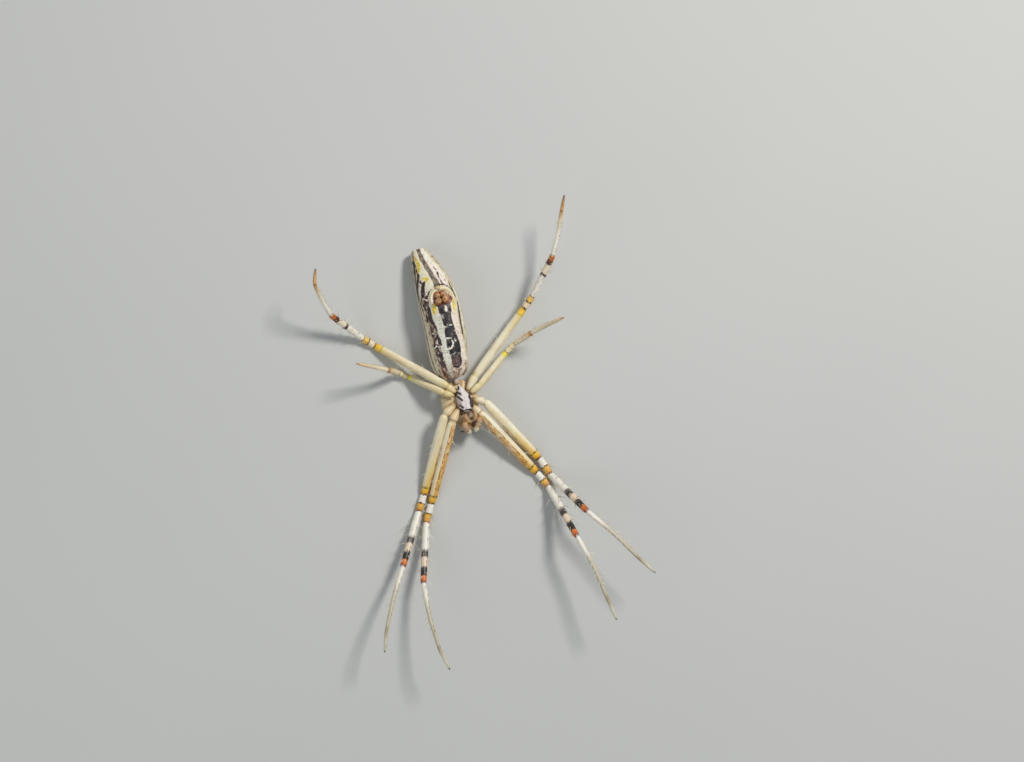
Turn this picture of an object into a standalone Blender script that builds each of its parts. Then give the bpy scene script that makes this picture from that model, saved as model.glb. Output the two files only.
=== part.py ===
"""Orb weaver spider (Argiope), life size, lying belly up as it hangs under its web.

Blender 4.5 script, metres, +Z up. The head points to -Y and the tail to +Y, the spider's
own left side is at -X, its back is on the floor and its belly faces +Z. It rests on small
flats on its back and its knees. The tables below are in millimetres and degrees.
"""
import math

import bmesh
import bpy
from mathutils import Euler, Matrix, Vector
from mathutils.bvhtree import BVHTree

MM = 0.001
OBJECT_NAME = "orb_weaver_spider"

# joints between neighbouring solids
GAP = 0.09                    # open slit at every joint
TUBE_SIDES_RESOLUTION = 2     # eight sides round a leg
FLAT_DEPTH = 0.07             # how much of a knee is cut off by the floor
DOME_RISE = 0.03              # an eye's or a plate's flat side stands this far off the body
ON_BELLY_RISE = 0.06          # spinnerets and plates stand this much higher on a curved belly
SHARP_ANGLE = 40.0

# the fore body (prosoma): its centre, and how it is turned and rolled against the floor
PROSOMA_CENTRE = (-0.2, -1.62, 2.15)
PROSOMA_TURN = 5.0
PROSOMA_ROLL = 12.0

# legs, by pair from the head back: length of each segment and overall thickness
LEG_LENGTHS = {
    1: {"femur": 8.2, "patella": 1.7, "tibia": 6.2, "metatarsus": 6.4, "tarsus": 2.1},
    2: {"femur": 8.0, "patella": 1.6, "tibia": 5.7, "metatarsus": 6.5, "tarsus": 1.95},
    3: {"femur": 4.15, "patella": 1.1, "tibia": 2.15, "metatarsus": 2.65, "tarsus": 1.15},
    4: {"femur": 8.05, "patella": 1.35, "tibia": 4.4, "metatarsus": 4.25, "tarsus": 1.4},
}
LEG_THICKNESS = {1: 1.0, 2: 1.0, 3: 0.78, 4: 0.94}
THINNEST_RADIUS = 0.25        # no leg solid is thinner than half a millimetre, its tip apart

# radius along each segment, as (share of its length, radius) at thickness 1
SEGMENT_RADII = {
    "femur": ((0.0, 0.36), (0.05, 0.38), (0.22, 0.415), (0.6, 0.4), (0.9, 0.36), (1.0, 0.36)),
    "patella": ((0.0, 0.34), (0.5, 0.36), (1.0, 0.33)),
    "tibia": ((0.0, 0.32), (0.18, 0.35), (0.62, 0.33), (1.0, 0.3)),
    "metatarsus": ((0.0, 0.27), (0.14, 0.28), (0.35, 0.26), (0.58, 0.25), (0.8, 0.25),
                   (1.0, 0.25)),
    "tarsus": ((0.0, 0.25), (0.55, 0.25), (0.88, 0.22), (1.0, 0.12)),
}
KNEE_RADIUS = 0.36
BEND_LENGTH = 0.4             # the leg's axis rounds each joint over this length either way

# coxae stand round the sternum like spokes, each wider the further out it is
COXA_INNER = {1: 1.12, 2: 0.98, 3: 0.86, 4: 0.86}     # distance of its inner end
COXA_SLOPE = 0.188                                    # radius for each unit of distance

# pose: each coxa's heading and the distance of its outer end, in the fore body's own axes,
# then the heading (clockwise from +Y, seen from above) and climb of each segment past it;
# a femur's climb of None lays the knee on the floor
SEGMENTS = ("femur", "patella", "tibia", "metatarsus", "tarsus")
LEG_POSE = {
    ("left", 1): ((-133, 2.3), (-151, None), (-147, 1), (-159, 20), (-176, 19), (169, 6)),
    ("left", 2): ((-109, 2.35), (-151, None), (-147, 3), (-146, 17), (-147, 24), (-159, 5)),
    ("left", 3): ((-55, 1.9), (-47, -31), (-54, 19), (-66, 58), (-65, 39), (-66, 32)),
    ("left", 4): ((-32, 1.8), (-44, None), (-44, 10), (-41, 32), (-16, 44), (21, -11)),
    ("right", 1): ((150, 2.0), (151, None), (156, 2), (171, 34), (171, 9), (173, 2)),
    ("right", 2): ((117, 2.1), (151, None), (163, 2), (155, 37), (149, 9), (148, 3)),
    ("right", 3): ((75, 2.05), (55, -7), (60, 10), (73, 35), (79, 42), (82, 33)),
    ("right", 4): ((51, 2.35), (52, -1), (51, 10), (41, 19), (25, 15), (24, 14)),
}
METATARSUS_BOW = {1: 0.17, 2: 0.12, 3: 0.0, 4: 0.08}   # it curves outwards by this much

# rounded bodies, as rows from one end to the other:
# (place along Y, centre X, half width, lowest Z, highest Z)
ABDOMEN_ROWS = (
    (0.36, -0.32, 0.0, 1.75, 1.75),
    (0.42, -0.33, 0.95, 0.95, 2.45),
    (0.95, -0.38, 1.5, 0.30, 3.10),
    (1.9, -0.41, 1.76, 0.05, 3.42),
    (3.1, -0.27, 1.88, -0.05, 3.62),
    (4.6, -0.06, 1.95, -0.06, 3.72),
    (6.2, 0.09, 1.95, -0.06, 3.76),
    (7.6, 0.11, 1.94, -0.06, 3.74),
    (8.8, 0.12, 1.82, -0.06, 3.36),
    (9.9, 0.08, 1.63, -0.05, 2.92),
    (10.9, -0.04, 1.42, 0.04, 2.52),
    (11.9, -0.15, 1.1, 0.22, 2.12),
    (12.65, -0.22, 0.82, 0.42, 1.84),
    (12.98, -0.26, 0.55, 0.66, 1.56),
    (13.02, -0.26, 0.0, 1.1, 1.1),
)
TAIL_CUT = 9.15               # place along Y where the tail is parted from the abdomen
CARAPACE_ROWS = (
    (1.82, 0.0, 0.0, -0.85, -0.85),
    (1.76, 0.0, 0.55, -1.05, -0.68),
    (1.35, 0.0, 1.2, -1.38, -0.62),
    (0.7, 0.0, 1.72, -1.64, -0.58),
    (-0.1, 0.0, 1.93, -1.74, -0.56),
    (-0.9, 0.0, 1.76, -1.72, -0.56),
    (-1.6, 0.0, 1.3, -1.7, -0.58),
    (-2.2, 0.0, 1.0, -1.68, -0.66),
    (-2.7, 0.0, 0.9, -1.6, -0.86),
    (-2.95, 0.0, 0.72, -1.5, -0.98),
    (-3.02, 0.0, 0.0, -1.25, -1.25),
)
STERNUM_ROWS = (
    (1.3, 0.0, 0.0, 0.12, 0.12),
    (1.2, 0.0, 0.12, -0.08, 0.36),
    (0.65, 0.0, 0.4, -0.28, 0.52),
    (0.1, 0.0, 0.64, -0.34, 0.58),
    (-0.4, 0.0, 0.78, -0.34, 0.6),
    (-0.85, 0.0, 0.7, -0.34, 0.58),
    (-1.2, 0.0, 0.5, -0.28, 0.52),
    (-1.3, 0.0, 0.0, 0.12, 0.12),
)
LABIUM_ROWS = (
    (-1.37, 0.0, 0.0, 0.25, 0.25),
    (-1.42, 0.0, 0.25, 0.06, 0.48),
    (-1.68, 0.0, 0.27, 0.04, 0.52),
    (-1.92, 0.0, 0.17, 0.08, 0.46),
    (-1.98, 0.0, 0.0, 0.28, 0.28),
)
ENDITE_ROWS = (               # the right one; the left one is its mirror image
    (-1.48, 0.5, 0.0, 0.2, 0.2),
    (-1.54, 0.5, 0.12, 0.06, 0.4),
    (-1.8, 0.5, 0.19, 0.02, 0.5),
    (-2.1, 0.42, 0.24, 0.02, 0.48),
    (-2.32, 0.33, 0.2, 0.06, 0.42),
    (-2.38, 0.3, 0.0, 0.24, 0.24),
)
CHELICERA_PATH = (            # place and radius, the right one, from its base to its end
    ((0.4, -2.58, -0.62), 0.33),
    ((0.4, -2.74, -0.42), 0.36),
    ((0.36, -2.9, -0.2), 0.32),
    ((0.32, -2.96, -0.08), 0.2),
)
PALP_PATH = (                 # the right one, from the side of the mouth to its tip
    ((0.66, -2.1, 0.3), 0.18),
    ((0.74, -2.26, 0.31), 0.27),
    ((0.76, -2.56, 0.3), 0.28),
    ((0.58, -2.86, 0.28), 0.28),
    ((0.38, -3.12, 0.24), 0.26),
    ((0.33, -3.28, 0.22), 0.19),
    ((0.32, -3.36, 0.21), 0.09),
)
PALPS_LEAN = -0.35            # the palps' tips lie this far to the spider's left
PEDICEL_START = (-0.28, -0.22, 1.88)
PEDICEL_END = (-0.32, 0.26, 1.8)
PEDICEL_RADIUS = 0.26

# spinnerets: place on the belly (X, Y), foot radius, tip radius, height, lean towards +Y
SPINNERETS = {
    "spinneret_front": (0.34, 7.62, 0.3, 0.13, 0.52, 12.0),
    "spinneret_rear": (0.27, 8.24, 0.25, 0.11, 0.5, -20.0),
}
SPINNERETS_MIDDLE = 0.22      # X of the line between them
SPINNERETS_SPREAD = 8.0       # how far each leans away from that line
ANAL_TUBERCLE = (0.2, 8.82, 0.24, 0.26)   # X, Y, radius, height
EPIGYNE = (-0.02, 1.85, 0.32, 0.24)       # the same

# eyes: where a line from inside the head meets its surface, and the eye's radius
HEAD_INSIDE = (0.0, -2.3, -1.2)
EYES = {
    "eye_front_middle": ((0.2, -1.0, -0.22), 0.11),
    "eye_rear_middle": ((0.25, -0.72, -0.62), 0.12),
    "eye_front_side": ((0.8, -0.62, -0.08), 0.09),
    "eye_rear_side": ((0.84, -0.42, -0.3), 0.1),
}

SIDES = {"left": -1, "right": 1}
COLOURS = {                   # linear RGB, roughness
    "shell": ((0.36, 0.30, 0.22), 0.55),
    "sternum": ((0.62, 0.56, 0.47), 0.5),
    "mouth": ((0.42, 0.25, 0.12), 0.5),
    "leg": ((0.72, 0.58, 0.34), 0.45),
    "foot": ((0.38, 0.25, 0.15), 0.5),
    "belly": ((0.30, 0.24, 0.19), 0.5),
    "tail": ((0.50, 0.44, 0.36), 0.5),
    "spinneret": ((0.40, 0.16, 0.06), 0.4),
    "eye": ((0.01, 0.008, 0.006), 0.08),
}


def clear_scene():
    for old in list(bpy.data.objects):
        bpy.data.objects.remove(old, do_unlink=True)


def parts_collection():
    collection = bpy.data.collections.new(OBJECT_NAME)
    bpy.context.scene.collection.children.link(collection)
    return collection


def make_material(node, colour_name):
    """One material for each sub-part."""
    colour, roughness = COLOURS[colour_name]
    material = bpy.data.materials.new(node)
    material.use_nodes = True
    shader = material.node_tree.nodes["Principled BSDF"]
    shader.inputs["Base Color"].default_value = (*colour, 1.0)
    shader.inputs["Roughness"].default_value = roughness
    shader.inputs["Metallic"].default_value = 0.0
    material.diffuse_color = (*colour, 1.0)
    return material


def add_object(collection, node, data, colour_name, parent):
    part = bpy.data.objects.new(node, data)
    data.materials.append(make_material(node, colour_name))
    collection.objects.link(part)
    part.parent = parent
    return part


def add_empty(collection, name, location=(0, 0, 0), rotation=(0, 0, 0), parent=None):
    empty = bpy.data.objects.new(name, None)
    collection.objects.link(empty)
    empty.location = location
    empty.rotation_euler = rotation
    empty.parent = parent
    return empty


def mesh_from(bm, name):
    """A mesh in metres from a shape that was made in millimetres."""
    bm.normal_update()
    bmesh.ops.recalc_face_normals(bm, faces=bm.faces)
    bmesh.ops.scale(bm, vec=(MM, MM, MM), verts=bm.verts)
    mesh = bpy.data.meshes.new(name)
    bm.to_mesh(mesh)
    bm.free()
    mesh.shade_smooth()
    mesh.set_sharp_from_angle(angle=math.radians(SHARP_ANGLE))
    return mesh


def between_rows(rows, place):
    """The row at a fractional place in a table, on a smooth curve through its rows."""
    last = len(rows) - 1
    first = min(int(place), last - 1)
    t = place - first
    before = rows[max(first - 1, 0)]
    start = rows[first]
    end = rows[first + 1]
    after = rows[min(first + 2, last)]
    row = []
    for p0, p1, p2, p3 in zip(before, start, end, after):
        row.append(0.5 * (2 * p1 + (p2 - p0) * t + (2 * p0 - 5 * p1 + 4 * p2 - p3) * t * t
                          + (3 * p1 - p0 - 3 * p2 + p3) * t ** 3))
    return row


def rounded_body(rows, around, rings, mirror=1):
    """A sphere with its poles on Y, reshaped ring by ring to a table of rows."""
    bm = bmesh.new()
    bmesh.ops.create_uvsphere(bm, u_segments=around, v_segments=rings, radius=1.0,
                              matrix=Matrix.Rotation(math.radians(90), 4, "X"))
    for vertex in bm.verts:
        angle = math.atan2(vertex.co.z, vertex.co.x)
        along = math.acos(max(-1.0, min(1.0, vertex.co.y))) / math.pi
        y, x, half_width, low, high = between_rows(rows, along * (len(rows) - 1))
        if along < 1e-4 or along > 1 - 1e-4:
            half_width = 0.0
            low = high = (low + high) / 2
        middle = (low + high) / 2
        vertex.co = Vector((
            mirror * (x + half_width * math.cos(angle)),
            y,
            middle + (high - low) / 2 * math.sin(angle),
        ))
    bmesh.ops.recalc_face_normals(bm, faces=bm.faces)
    bm.normal_update()
    return bm


def rest_on_floor(bm):
    """Cuts off what would reach under the floor, which leaves a small flat."""
    for vertex in bm.verts:
        vertex.co.z = max(vertex.co.z, 0.0)


def part_at(bm, y, keep_front):
    """Cuts a body across at one place and closes the cut."""
    cut = bmesh.ops.bisect_plane(
        bm, geom=bm.verts[:] + bm.edges[:] + bm.faces[:], dist=1e-6,
        plane_co=(0, y, 0), plane_no=(0, 1, 0),
        clear_outer=keep_front, clear_inner=not keep_front)
    rim = [item for item in cut["geom_cut"] if isinstance(item, bmesh.types.BMEdge)]
    bmesh.ops.contextual_create(bm, geom=rim)


def direction(heading, climb):
    heading = math.radians(heading)
    climb = math.radians(climb)
    return Vector((math.sin(heading) * math.cos(climb), math.cos(heading) * math.cos(climb),
                   math.sin(climb)))


def prosoma_matrix():
    """From the fore body's own axes to the spider's, in millimetres."""
    turn = Matrix.Rotation(math.radians(PROSOMA_TURN), 4, "Z")
    roll = Matrix.Rotation(math.radians(PROSOMA_ROLL), 4, "Y")
    return Matrix.Translation(Vector(PROSOMA_CENTRE)) @ roll @ turn


def tube_object(collection, node, path, colour_name, parent):
    """A tube through (point, radius) pairs, made a mesh with its end caps welded on."""
    curve = bpy.data.curves.new(node, "CURVE")
    curve.dimensions = "3D"
    curve.bevel_depth = 1.0
    curve.bevel_resolution = TUBE_SIDES_RESOLUTION
    curve.use_fill_caps = True
    spline = curve.splines.new("POLY")
    spline.points.add(len(path) - 1)
    for spot, (point, radius) in zip(spline.points, path):
        spot.co = (*point, 1.0)
        spot.radius = radius
    guide = bpy.data.objects.new(node + "_path", curve)
    collection.objects.link(guide)
    bpy.context.view_layer.update()
    evaluated = guide.evaluated_get(bpy.context.evaluated_depsgraph_get())
    mesh = bpy.data.meshes.new_from_object(evaluated)
    bpy.data.objects.remove(guide, do_unlink=True)
    bpy.data.curves.remove(curve)
    bm = bmesh.new()
    bm.from_mesh(mesh)
    bpy.data.meshes.remove(mesh)
    bmesh.ops.remove_doubles(bm, verts=bm.verts, dist=0.0001)
    if parent.name == "spider":
        rest_on_floor(bm)
    return add_object(collection, node, mesh_from(bm, node), colour_name, parent)


class Leg:
    """One leg's axis: straight segments, with the joints rounded."""

    def __init__(self, side, pair):
        self.name = f"leg{pair}_{side}"
        self.pair = pair
        to_spider = prosoma_matrix()
        (coxa_heading, coxa_reach), *pose = LEG_POSE[side, pair]
        spoke = direction(coxa_heading, 0)
        self.points = [to_spider @ (spoke * COXA_INNER[pair]),
                       to_spider @ (spoke * coxa_reach)]
        for segment, (heading, climb) in zip(SEGMENTS, pose):
            length = LEG_LENGTHS[pair][segment]
            start = self.points[-1]
            if climb is None:
                knee_height = KNEE_RADIUS * LEG_THICKNESS[pair] - FLAT_DEPTH
                climb = math.degrees(math.asin((knee_height - start.z) / length))
            self.points.append(start + direction(heading, climb) * length)
        self.marks = [0.0]
        for a, b in zip(self.points, self.points[1:]):
            self.marks.append(self.marks[-1] + (b - a).length)
        bowed = SEGMENTS.index("metatarsus") + 1
        self.bow_from, self.bow_to = self.marks[bowed], self.marks[bowed + 1]
        along = self.points[bowed + 1] - self.points[bowed]
        sideways = Vector((along.y, -along.x, 0)).normalized()
        if sideways.x * SIDES[side] < 0:
            sideways.negate()
        self.bow = sideways * METATARSUS_BOW[pair]

    def at(self, s):
        """The point at a length along the leg, with the metatarsus bowed."""
        point = self.on_straights(s)
        if self.bow_from < s < self.bow_to:
            share = (s - self.bow_from) / (self.bow_to - self.bow_from)
            point = point + self.bow * math.sin(math.pi * share) ** 2
        return point

    def on_straights(self, s):
        """The point at a length along the straight segments and their rounded joints."""
        for joint in range(1, len(self.points) - 1):
            past = s - self.marks[joint]
            bend = min(BEND_LENGTH, 0.45 * (self.marks[joint + 1] - self.marks[joint]))
            if abs(past) < bend:
                corner = self.points[joint]
                before = corner.lerp(self.points[joint - 1],
                                     bend / (self.marks[joint] - self.marks[joint - 1]))
                after = corner.lerp(self.points[joint + 1],
                                    bend / (self.marks[joint + 1] - self.marks[joint]))
                t = (past + bend) / (2 * bend)
                return before.lerp(corner, t).lerp(corner.lerp(after, t), t)
        for a, b, start, end in zip(self.points, self.points[1:], self.marks, self.marks[1:]):
            if s <= end or b is self.points[-1]:
                return a.lerp(b, (s - start) / (end - start))

    def radius(self, segment, share):
        stations = SEGMENT_RADII[segment]
        for (s0, r0), (s1, r1) in zip(stations, stations[1:]):
            if share <= s1:
                radius = r0 + (r1 - r0) * (share - s0) / (s1 - s0)
                break
        radius *= LEG_THICKNESS[self.pair]
        if segment == "tarsus" and share > 0.8:
            return radius
        return max(radius, THINNEST_RADIUS)

    def path(self, segments):
        """(point, radius) pairs along neighbouring segments, short of the joints by a gap."""
        first = SEGMENTS.index(segments[0]) + 1
        ends_free = segments[-1] == SEGMENTS[-1]
        path = []
        for number, segment in enumerate(segments):
            start = self.marks[first + number]
            length = self.marks[first + number + 1] - start
            bend = 0.55 * min(BEND_LENGTH, 0.45 * length) / length
            shares = [share for share, _ in SEGMENT_RADII[segment]
                      if bend * 1.4 < share < 1 - bend * 1.4]
            opening = GAP / 2 / length
            shares = [opening if number == 0 else 0.0, bend] + shares
            if segment != SEGMENTS[-1]:
                shares.append(1 - bend)
            else:
                shares.append(0.94)
            if number == len(segments) - 1:
                shares.append(1.0 if ends_free else 1 - opening)
            path += [(self.at(start + share * length), self.radius(segment, share))
                     for share in shares]
        return path

    def coxa_path(self):
        length = self.marks[1]
        inner = COXA_INNER[self.pair]
        path = []
        for share in (0.0, 0.35, 0.7, 1 - 0.2 / length, 1 - GAP / 2 / length):
            radius = COXA_SLOPE * (inner + share * length)
            path.append((self.at(share * length), radius))
        point, radius = path[-1]
        path[-1] = (point, radius * 0.9)
        return path


def build_legs(collection, spider):
    for pair in LEG_LENGTHS:
        for side in SIDES:
            leg = Leg(side, pair)
            tube_object(collection, leg.name + "_coxa", leg.coxa_path(), "leg", spider)
            tube_object(collection, leg.name + "_femur", leg.path(("femur",)), "leg", spider)
            tube_object(collection, leg.name + "_shin", leg.path(("patella", "tibia")),
                        "leg", spider)
            tube_object(collection, leg.name + "_foot", leg.path(("metatarsus", "tarsus")),
                        "foot", spider)


def mirrored(path, sign):
    return [((sign * point[0], point[1], point[2]), radius) for point, radius in path]


def leaning(path):
    """Moves a palp's points sideways, the more the nearer they are to its tip."""
    start, tip = path[0][0][1], path[-1][0][1]
    return [((x + PALPS_LEAN * (y - start) / (tip - start), y, z), radius)
            for (x, y, z), radius in path]


def build_prosoma(collection, prosoma):
    """The fore body in its own axes: belly to +Z, head to -Y."""
    shell = rounded_body(CARAPACE_ROWS, 28, 16)
    surface = BVHTree.FromBMesh(shell)
    add_object(collection, "carapace", mesh_from(shell, "carapace"), "shell", prosoma)
    for node, rows, around, rings, colour in (
            ("sternum", STERNUM_ROWS, 18, 10, "sternum"),
            ("labium", LABIUM_ROWS, 10, 6, "sternum")):
        bm = rounded_body(rows, around, rings)
        add_object(collection, node, mesh_from(bm, node), colour, prosoma)
    for side, sign in SIDES.items():
        node = "endite_" + side
        bm = rounded_body(ENDITE_ROWS, 10, 7, mirror=sign)
        add_object(collection, node, mesh_from(bm, node), "mouth", prosoma)
        tube_object(collection, "chelicera_" + side, mirrored(CHELICERA_PATH, sign),
                    "mouth", prosoma)
        tube_object(collection, "palp_" + side, leaning(mirrored(PALP_PATH, sign)),
                    "mouth", prosoma)
        for name, (aim, radius) in EYES.items():
            line = Vector((sign * aim[0], aim[1], aim[2])).normalized()
            spot, normal, _, _ = surface.ray_cast(Vector(HEAD_INSIDE), line)
            if normal.dot(line) < 0:
                normal = -normal
            add_dome(collection, f"{name}_{side}", spot, normal, (radius, radius), "eye", prosoma)


def add_dome(collection, node, spot, normal, size, colour_name, parent):
    """Half a ball of (radius, height) that stands on a surface, its flat side just clear."""
    radius, height = size
    bm = bmesh.new()
    bmesh.ops.create_uvsphere(bm, u_segments=10, v_segments=8, radius=1.0)
    bmesh.ops.scale(bm, vec=(radius, radius, height), verts=bm.verts)
    cut = bmesh.ops.bisect_plane(bm, geom=bm.verts[:] + bm.edges[:] + bm.faces[:], dist=1e-6,
                                 plane_co=(0, 0, 0), plane_no=(0, 0, 1), clear_inner=True)
    rim = [item for item in cut["geom_cut"] if isinstance(item, bmesh.types.BMEdge)]
    bmesh.ops.contextual_create(bm, geom=rim)
    part = add_object(collection, node, mesh_from(bm, node), colour_name, parent)
    part.rotation_euler = normal.to_track_quat("Z", "Y").to_euler()
    part.location = (spot + normal * DOME_RISE) * MM
    return part


def build_abdomen(collection, spider):
    whole = rounded_body(ABDOMEN_ROWS, 28, 26)
    rest_on_floor(whole)
    surface = BVHTree.FromBMesh(whole)
    tail = whole.copy()
    part_at(whole, TAIL_CUT - GAP / 2, keep_front=True)
    part_at(tail, TAIL_CUT + GAP / 2, keep_front=False)
    add_object(collection, "abdomen", mesh_from(whole, "abdomen"), "belly", spider)
    add_object(collection, "tail", mesh_from(tail, "tail"), "tail", spider)

    def belly_point(x, y):
        spot, normal, _, _ = surface.ray_cast(Vector((x, y, 9.0)), Vector((0, 0, -1)))
        return spot, normal if normal.z > 0 else -normal

    for side, sign in SIDES.items():
        for name, (out, y, foot, tip, height, lean) in SPINNERETS.items():
            spot, _ = belly_point(SPINNERETS_MIDDLE + sign * out, y)
            bm = bmesh.new()
            bmesh.ops.create_cone(bm, cap_ends=True, segments=12, radius1=foot,
                                  radius2=tip, depth=height)
            bmesh.ops.translate(bm, vec=(0, 0, height / 2), verts=bm.verts)
            node = f"{name}_{side}"
            cone = add_object(collection, node, mesh_from(bm, node), "spinneret", spider)
            cone.rotation_euler = Euler((-math.radians(lean),
                                         -sign * math.radians(SPINNERETS_SPREAD), 0))
            cone.location = (spot + Vector((0, 0, ON_BELLY_RISE + foot * 0.3))) * MM
    for node, (x, y, radius, height) in (("anal_tubercle", ANAL_TUBERCLE),
                                         ("epigyne", EPIGYNE)):
        spot, normal = belly_point(x, y)
        add_dome(collection, node, spot + normal * ON_BELLY_RISE, normal, (radius, height),
                 "spinneret", spider)


def put_origin_under_the_middle(spider):
    """Shifts the spider so that the origin is on the floor, under the middle of its box."""
    bpy.context.view_layer.update()
    corners = []
    for part in bpy.data.objects:
        if part.type == "MESH":
            corners += [part.matrix_world @ vertex.co for vertex in part.data.vertices]
    middle = [(min(c[axis] for c in corners) + max(c[axis] for c in corners)) / 2
              for axis in (0, 1)]
    spider.location = (-middle[0], -middle[1], 0.0)


def main():
    clear_scene()
    collection = parts_collection()
    spider = add_empty(collection, "spider")
    matrix = prosoma_matrix()
    prosoma = add_empty(collection, "prosoma", matrix.translation * MM, matrix.to_euler(), spider)
    build_prosoma(collection, prosoma)
    tube_object(collection, "pedicel",
                [(PEDICEL_START, PEDICEL_RADIUS), (PEDICEL_END, PEDICEL_RADIUS)],
                "mouth", spider)
    build_abdomen(collection, spider)
    build_legs(collection, spider)
    put_origin_under_the_middle(spider)


main()
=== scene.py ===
import math
import random

import bmesh
import bpy
from mathutils import Matrix, Vector
from mathutils.bvhtree import BVHTree


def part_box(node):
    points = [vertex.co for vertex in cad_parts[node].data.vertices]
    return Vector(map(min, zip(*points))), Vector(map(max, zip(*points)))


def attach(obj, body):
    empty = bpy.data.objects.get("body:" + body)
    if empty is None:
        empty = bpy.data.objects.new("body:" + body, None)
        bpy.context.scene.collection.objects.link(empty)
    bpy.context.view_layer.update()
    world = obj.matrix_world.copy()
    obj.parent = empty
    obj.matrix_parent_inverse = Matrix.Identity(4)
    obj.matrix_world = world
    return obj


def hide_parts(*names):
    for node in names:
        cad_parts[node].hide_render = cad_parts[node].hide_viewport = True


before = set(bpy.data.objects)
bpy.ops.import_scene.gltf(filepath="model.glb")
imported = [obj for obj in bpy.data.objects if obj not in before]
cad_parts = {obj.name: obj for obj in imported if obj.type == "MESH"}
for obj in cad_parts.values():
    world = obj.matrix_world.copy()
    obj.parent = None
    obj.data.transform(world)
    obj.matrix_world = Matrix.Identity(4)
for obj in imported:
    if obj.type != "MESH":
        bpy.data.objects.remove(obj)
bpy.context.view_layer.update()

mm = 0.001                    # shapes are made in millimetres and scaled once, at the end
chance = random.Random(11)
sides = {"left": -1, "right": 1}
belly = Vector((0, 0, 1))     # the spider lies belly up
rearward = Vector((0, 1, 0))
clearance = 0.02              # no hair comes nearer to the floor


# shader tools

def tone(value):
    # a six-digit screen colour as the linear one that a shader takes; other values stay
    if not isinstance(value, str):
        return value
    parts = (int(value[start:start + 2], 16) for start in (0, 2, 4))
    return (*(((part / 255 + 0.055) / 1.055) ** 2.4 if part > 10 else part / 3295
              for part in parts), 1.0)


class Wire:
    # a shader socket that takes part in sums: each operator adds its Math node
    def __init__(self, look, socket):
        self.look = look
        self.socket = socket

    def __add__(self, other):
        return self.look.math("ADD", self, other)

    def __sub__(self, other):
        return self.look.math("SUBTRACT", self, other)

    def __rsub__(self, other):
        return self.look.math("SUBTRACT", other, self)

    def __mul__(self, other):
        return self.look.math("MULTIPLY", self, other)

    def __truediv__(self, other):
        return self.look.math("DIVIDE", self, other)

    def __abs__(self):
        return self.look.math("ABSOLUTE", self)

    __radd__ = __add__
    __rmul__ = __mul__


class Look:
    # one material: node() makes any node from its type, its settings and its inputs, and
    # paint() lays a tone over the colour so far
    def __init__(self, name, coat=(0, 0.03), soft=(0, 50)):
        # coat: weight and roughness; soft: share of light let in, and how deep
        self.material = bpy.data.materials.new(name)
        self.material.use_nodes = True
        self.tree = self.material.node_tree
        self.shader = self.tree.nodes["Principled BSDF"]
        for socket, value in (("Coat Weight", coat[0]), ("Coat Roughness", coat[1]),
                              ("Subsurface Weight", soft[0]), ("Subsurface Scale", soft[1] * mm)):
            self.shader.inputs[socket].default_value = value
        self.spot = self.stretched(1, 1, 1)
        self.colour = None

    def node(self, kind, settings=None, values=(), output=0):
        made = self.tree.nodes.new(kind)
        for name, value in (settings or {}).items():
            if name == "stops":
                self.setStops(made.color_ramp, value)
            else:
                setattr(made, name, value)
        for key, value in values.items() if isinstance(values, dict) else enumerate(values):
            if isinstance(value, Wire):
                self.tree.links.new(value.socket, made.inputs[key])
            else:
                made.inputs[key].default_value = tone(value)
        return Wire(self, made.outputs[output])

    def setStops(self, ramp, stops):
        while len(ramp.elements) < len(stops):
            ramp.elements.new(1.0)
        for element, (place, colour) in zip(ramp.elements, stops):
            element.position = place
            element.color = tone(colour)

    def stretched(self, *scale):
        # a point's place on the model, in millimetres, stretched along the axes
        return self.node("ShaderNodeMapping", values={
            "Vector": self.node("ShaderNodeTexCoord", output="Object"),
            "Scale": [part / mm for part in scale]})

    def attribute(self, name):
        vector = self.node("ShaderNodeAttribute", {"attribute_name": name}, output="Vector")
        split = self.node("ShaderNodeSeparateXYZ", values=[vector]).socket.node
        return [Wire(self, split.outputs[axis]) for axis in "XYZ"]

    def math(self, operation, *values):
        return self.node("ShaderNodeMath", {"operation": operation}, values)

    def join(self, x=0.0, y=0.0, z=0.0):
        return self.node("ShaderNodeCombineXYZ", values=[x, y, z])

    def noise(self, scale, detail, place=None):
        # read at the model's own place, unless another is given
        return self.node("ShaderNodeTexNoise", values={
            "Vector": place or self.spot, "Scale": scale, "Detail": detail, "Roughness": 0.55})

    def rise(self, value, start, end):
        # 0 before start, 1 past end, with a soft step between
        return self.node("ShaderNodeMapRange", {"interpolation_type": "SMOOTHSTEP"},
                         {"Value": value, "From Min": start, "From Max": end})

    def band(self, value, start, end, soft=0.1):
        return self.rise(value, start - soft, start + soft) * (
            1 - self.rise(value, end - soft, end + soft))

    def mix(self, first, second, share):
        return self.node("ShaderNodeMix", {"data_type": "RGBA"},
                         {0: share, 6: first, 7: second}, output=2)

    def blend(self, first, second, value, start, end):
        return self.mix(first, second, self.rise(value, start, end))

    def paint(self, colour, share):
        self.colour = self.mix(self.colour, colour, share)

    def ramp(self, value, *stops):
        return self.node("ShaderNodeValToRGB", {"stops": stops}, [value])

    def finish(self, gloss, relief=None, depth=0.02, strength=0.8):
        links = {"Base Color": self.colour, "Roughness": gloss}
        if relief:
            links["Normal"] = self.node("ShaderNodeBump", values={
                "Height": relief, "Distance": depth * mm, "Strength": strength})
        for socket, wire in links.items():
            self.tree.links.new(wire.socket, self.shader.inputs[socket])
        return self.material


# mesh tools

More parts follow.
